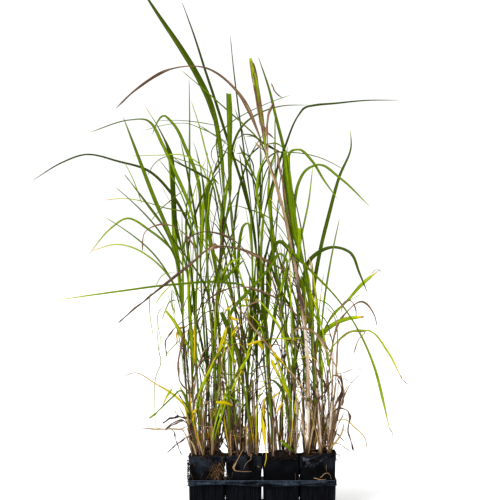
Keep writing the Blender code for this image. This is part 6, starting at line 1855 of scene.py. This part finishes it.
def leaf_lines():
    """A node group for grass skin, from the places across and along it.

    It gives the veins, the midrib, blotches along the skin, streaks side by side, and a height for the veins.
    On a stem the midrib falls down its front and its back, where it is a painted highlight.
    """
    group = bpy.data.node_groups.new("leaf_lines", "ShaderNodeTree")
    add_setting(group, "Veins", 9.0)
    add_setting(group, "Blotch Scale", 40.0)
    given = add_node(group, "NodeGroupInput").outputs
    across = add_node(group, "ShaderNodeAttribute", attribute_name="across").outputs["Fac"]
    along = add_node(group, "ShaderNodeAttribute", attribute_name="along").outputs["Fac"]
    far = add_node(group, "ShaderNodeMath", {0: across, 1: given["Veins"]}, operation="MULTIPLY")
    wave = add_node(group, "ShaderNodeMath", {0: far.outputs[0], 1: math.tau}, operation="MULTIPLY")
    vein = add_node(group, "ShaderNodeMath", {0: wave.outputs[0]}, operation="SINE")
    off_middle = add_node(group, "ShaderNodeMath", {0: across}, operation="ABSOLUTE")
    midrib = ranged(group, off_middle.outputs[0], (0.10, 0.22), (1, 0))
    spot = add_node(group, "ShaderNodeCombineXYZ", {"X": across, "Y": along}).outputs["Vector"]
    stretched = add_node(group, "ShaderNodeMapping", {"Vector": spot, "Scale": (0.03, 1.0, 1.0)})
    blotch = add_node(
        group,
        "ShaderNodeTexNoise",
        {"Vector": stretched.outputs["Vector"], "Scale": given["Blotch Scale"], "Detail": 4.0},
    )
    drawn = add_node(group, "ShaderNodeMapping", {"Vector": spot, "Scale": (1.0, 3.0, 1.0)})
    streak = add_node(
        group, "ShaderNodeTexNoise", {"Vector": drawn.outputs["Vector"], "Scale": 2.6, "Detail": 3.0}
    )
    height = add_node(
        group,
        "ShaderNodeMath",
        {0: vein.outputs[0], 1: 0.25, 2: midrib.outputs["Result"]},
        operation="MULTIPLY_ADD",
    )
    add_outputs(group, Vein=vein, Midrib=midrib, Blotch=blotch, Streak=streak, Height=height)
    return group


LINES = leaf_lines()


def plant_skin(name, stops, blotch, streaky, pale_midrib_and_stem_highlight, roughness):
    """Grass skin coloured by its age: stops are (age, colour) pairs.

    blotch and streaky are how unevenly it ages along and across. pale_midrib_and_stem_highlight is how much
    paler
    it is along its middle: a leaf's own pale midrib, and a painted highlight down the front and the back of a
    stem.
    """
    material, tree, shader = new_material(name)
    lines = add_node(tree, "ShaderNodeGroup", {"Veins": 7.0, "Blotch Scale": 45.0}, node_tree=LINES)
    age = add_node(tree, "ShaderNodeAttribute", attribute_name="age").outputs["Fac"]
    uneven = ranged(tree, lines.outputs["Blotch"], (0, 1), (-blotch, blotch))
    sided = ranged(tree, lines.outputs["Streak"], (0.3, 0.7), (-streaky, streaky))
    change = both(tree, "ADD", uneven, sided)
    shown = add_node(tree, "ShaderNodeMath", {0: age, 1: change.outputs[0]}, operation="ADD")
    ramp = add_node(tree, "ShaderNodeValToRGB", {"Fac": shown.outputs[0]})
    paint_ramp(ramp, stops)
    paint = ramp.outputs["Color"]
    brighter = (
        ranged(tree, lines.outputs["Vein"], (-1, 1), (0.82, 1.12)),
        ranged(tree, lines.outputs["Midrib"], (0, 1), (1, 1 + pale_midrib_and_stem_highlight)),
    )
    for much in brighter:
        scaled = {0: paint, "Scale": much.outputs["Result"]}
        paint = add_node(tree, "ShaderNodeVectorMath", scaled, operation="SCALE").outputs["Vector"]
    fill(tree, shader, {
        "Base Color": paint,
        "Normal": relief(tree, lines.outputs["Height"], 0.4, 0.0004),
        "Roughness": roughness,
        "Specular IOR Level": 0.06,
    })
    return material


leaf_skin = plant_skin("leaf_skin", (
    (0.00, "#2d3c00"), (0.16, "#425600"), (0.32, "#688300"), (0.46, "#9cb40a"), (0.57, "#cdbb04"),
    (0.68, "#c38e16"), (0.76, "#bca57c"), (0.84, "#8a6a4a"), (0.91, "#5a4230"), (1.00, "#2a1c14"),
), 0.11, 0.06, 0.30, 0.6)
# On stems the paler middle, 0.10 here, is a painted highlight down the front and the back of each stem
stem_skin = plant_skin("stem_skin", (
    (0.00, "#5f7a08"), (0.18, "#5a6a24"), (0.35, "#38222a"), (0.52, "#75594a"), (0.64, "#b39674"),
    (0.80, "#efe6da"), (0.88, "#8a6c4c"), (0.94, "#4c3826"), (1.00, "#261a12"),
), 0.10, 0.14, 0.10, 0.6)

# How near to the camera and how far from it the extra leaves may lie
NEAREST, FARTHEST = -0.150, 0.165

threads = make_threads()
part_the_shoots(threads)
places = np.concatenate([thread["points"] for thread in threads])
flattened = SIGHT + (places - SIGHT) * (-SIGHT[1] / (places[:, 1:2] - SIGHT[1]))
nearby = kdtree.KDTree(len(flattened))
for index, place in enumerate(flattened):
    nearby.insert(place, index)
nearby.balance()
for number, one in enumerate(GRASS):
    own = [thread for thread in threads if thread["shoot"] == number]
    stem = own[0]["points"]
    seed = zlib.crc32(one["name"].encode()) % 100000
    growth = {"spots": [], "faces": [], "age": [], "across": [], "along": []}
    grow_stem(growth, one, stem, seed)
    stem_faces = len(growth["faces"])
    grow_scraps(growth, one, stem, seed)
    for index, thread in enumerate(own[1:]):
        grow_blade(growth, thread["points"], thread["leaf"], seed + index)
    for index, leaf in enumerate(one["extras"]):
        hung = leaf["start"] is None
        route = hung_route(leaf, nearby, places[:, 1]) if hung else blade_route(leaf, stem)[0]
        route[:, 1] = np.clip(route[:, 1], NEAREST, FARTHEST)
        grow_blade(growth, route, leaf, seed + 50 + index, clasping=not hung)
    grow_inner_leaves(growth, one, stem, seed)
    grow_withered(growth, stem, seed)
    grow_curls(growth, stem, seed)
    plant = mesh_object(f"{one['name']}_grass", growth["spots"], growth["faces"], stem_skin)
    plant.data.materials.append(leaf_skin)
    leaf_faces = len(growth["faces"]) - stem_faces
    plant.data.polygons.foreach_set("material_index", [0] * stem_faces + [1] * leaf_faces)
    for key in ("age", "across", "along"):
        kept = plant.data.attributes.new(key, "FLOAT", "POINT")
        kept.data.foreach_set("value", np.array(growth[key], dtype=np.float32))
    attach(plant, "root")
    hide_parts(one["name"])
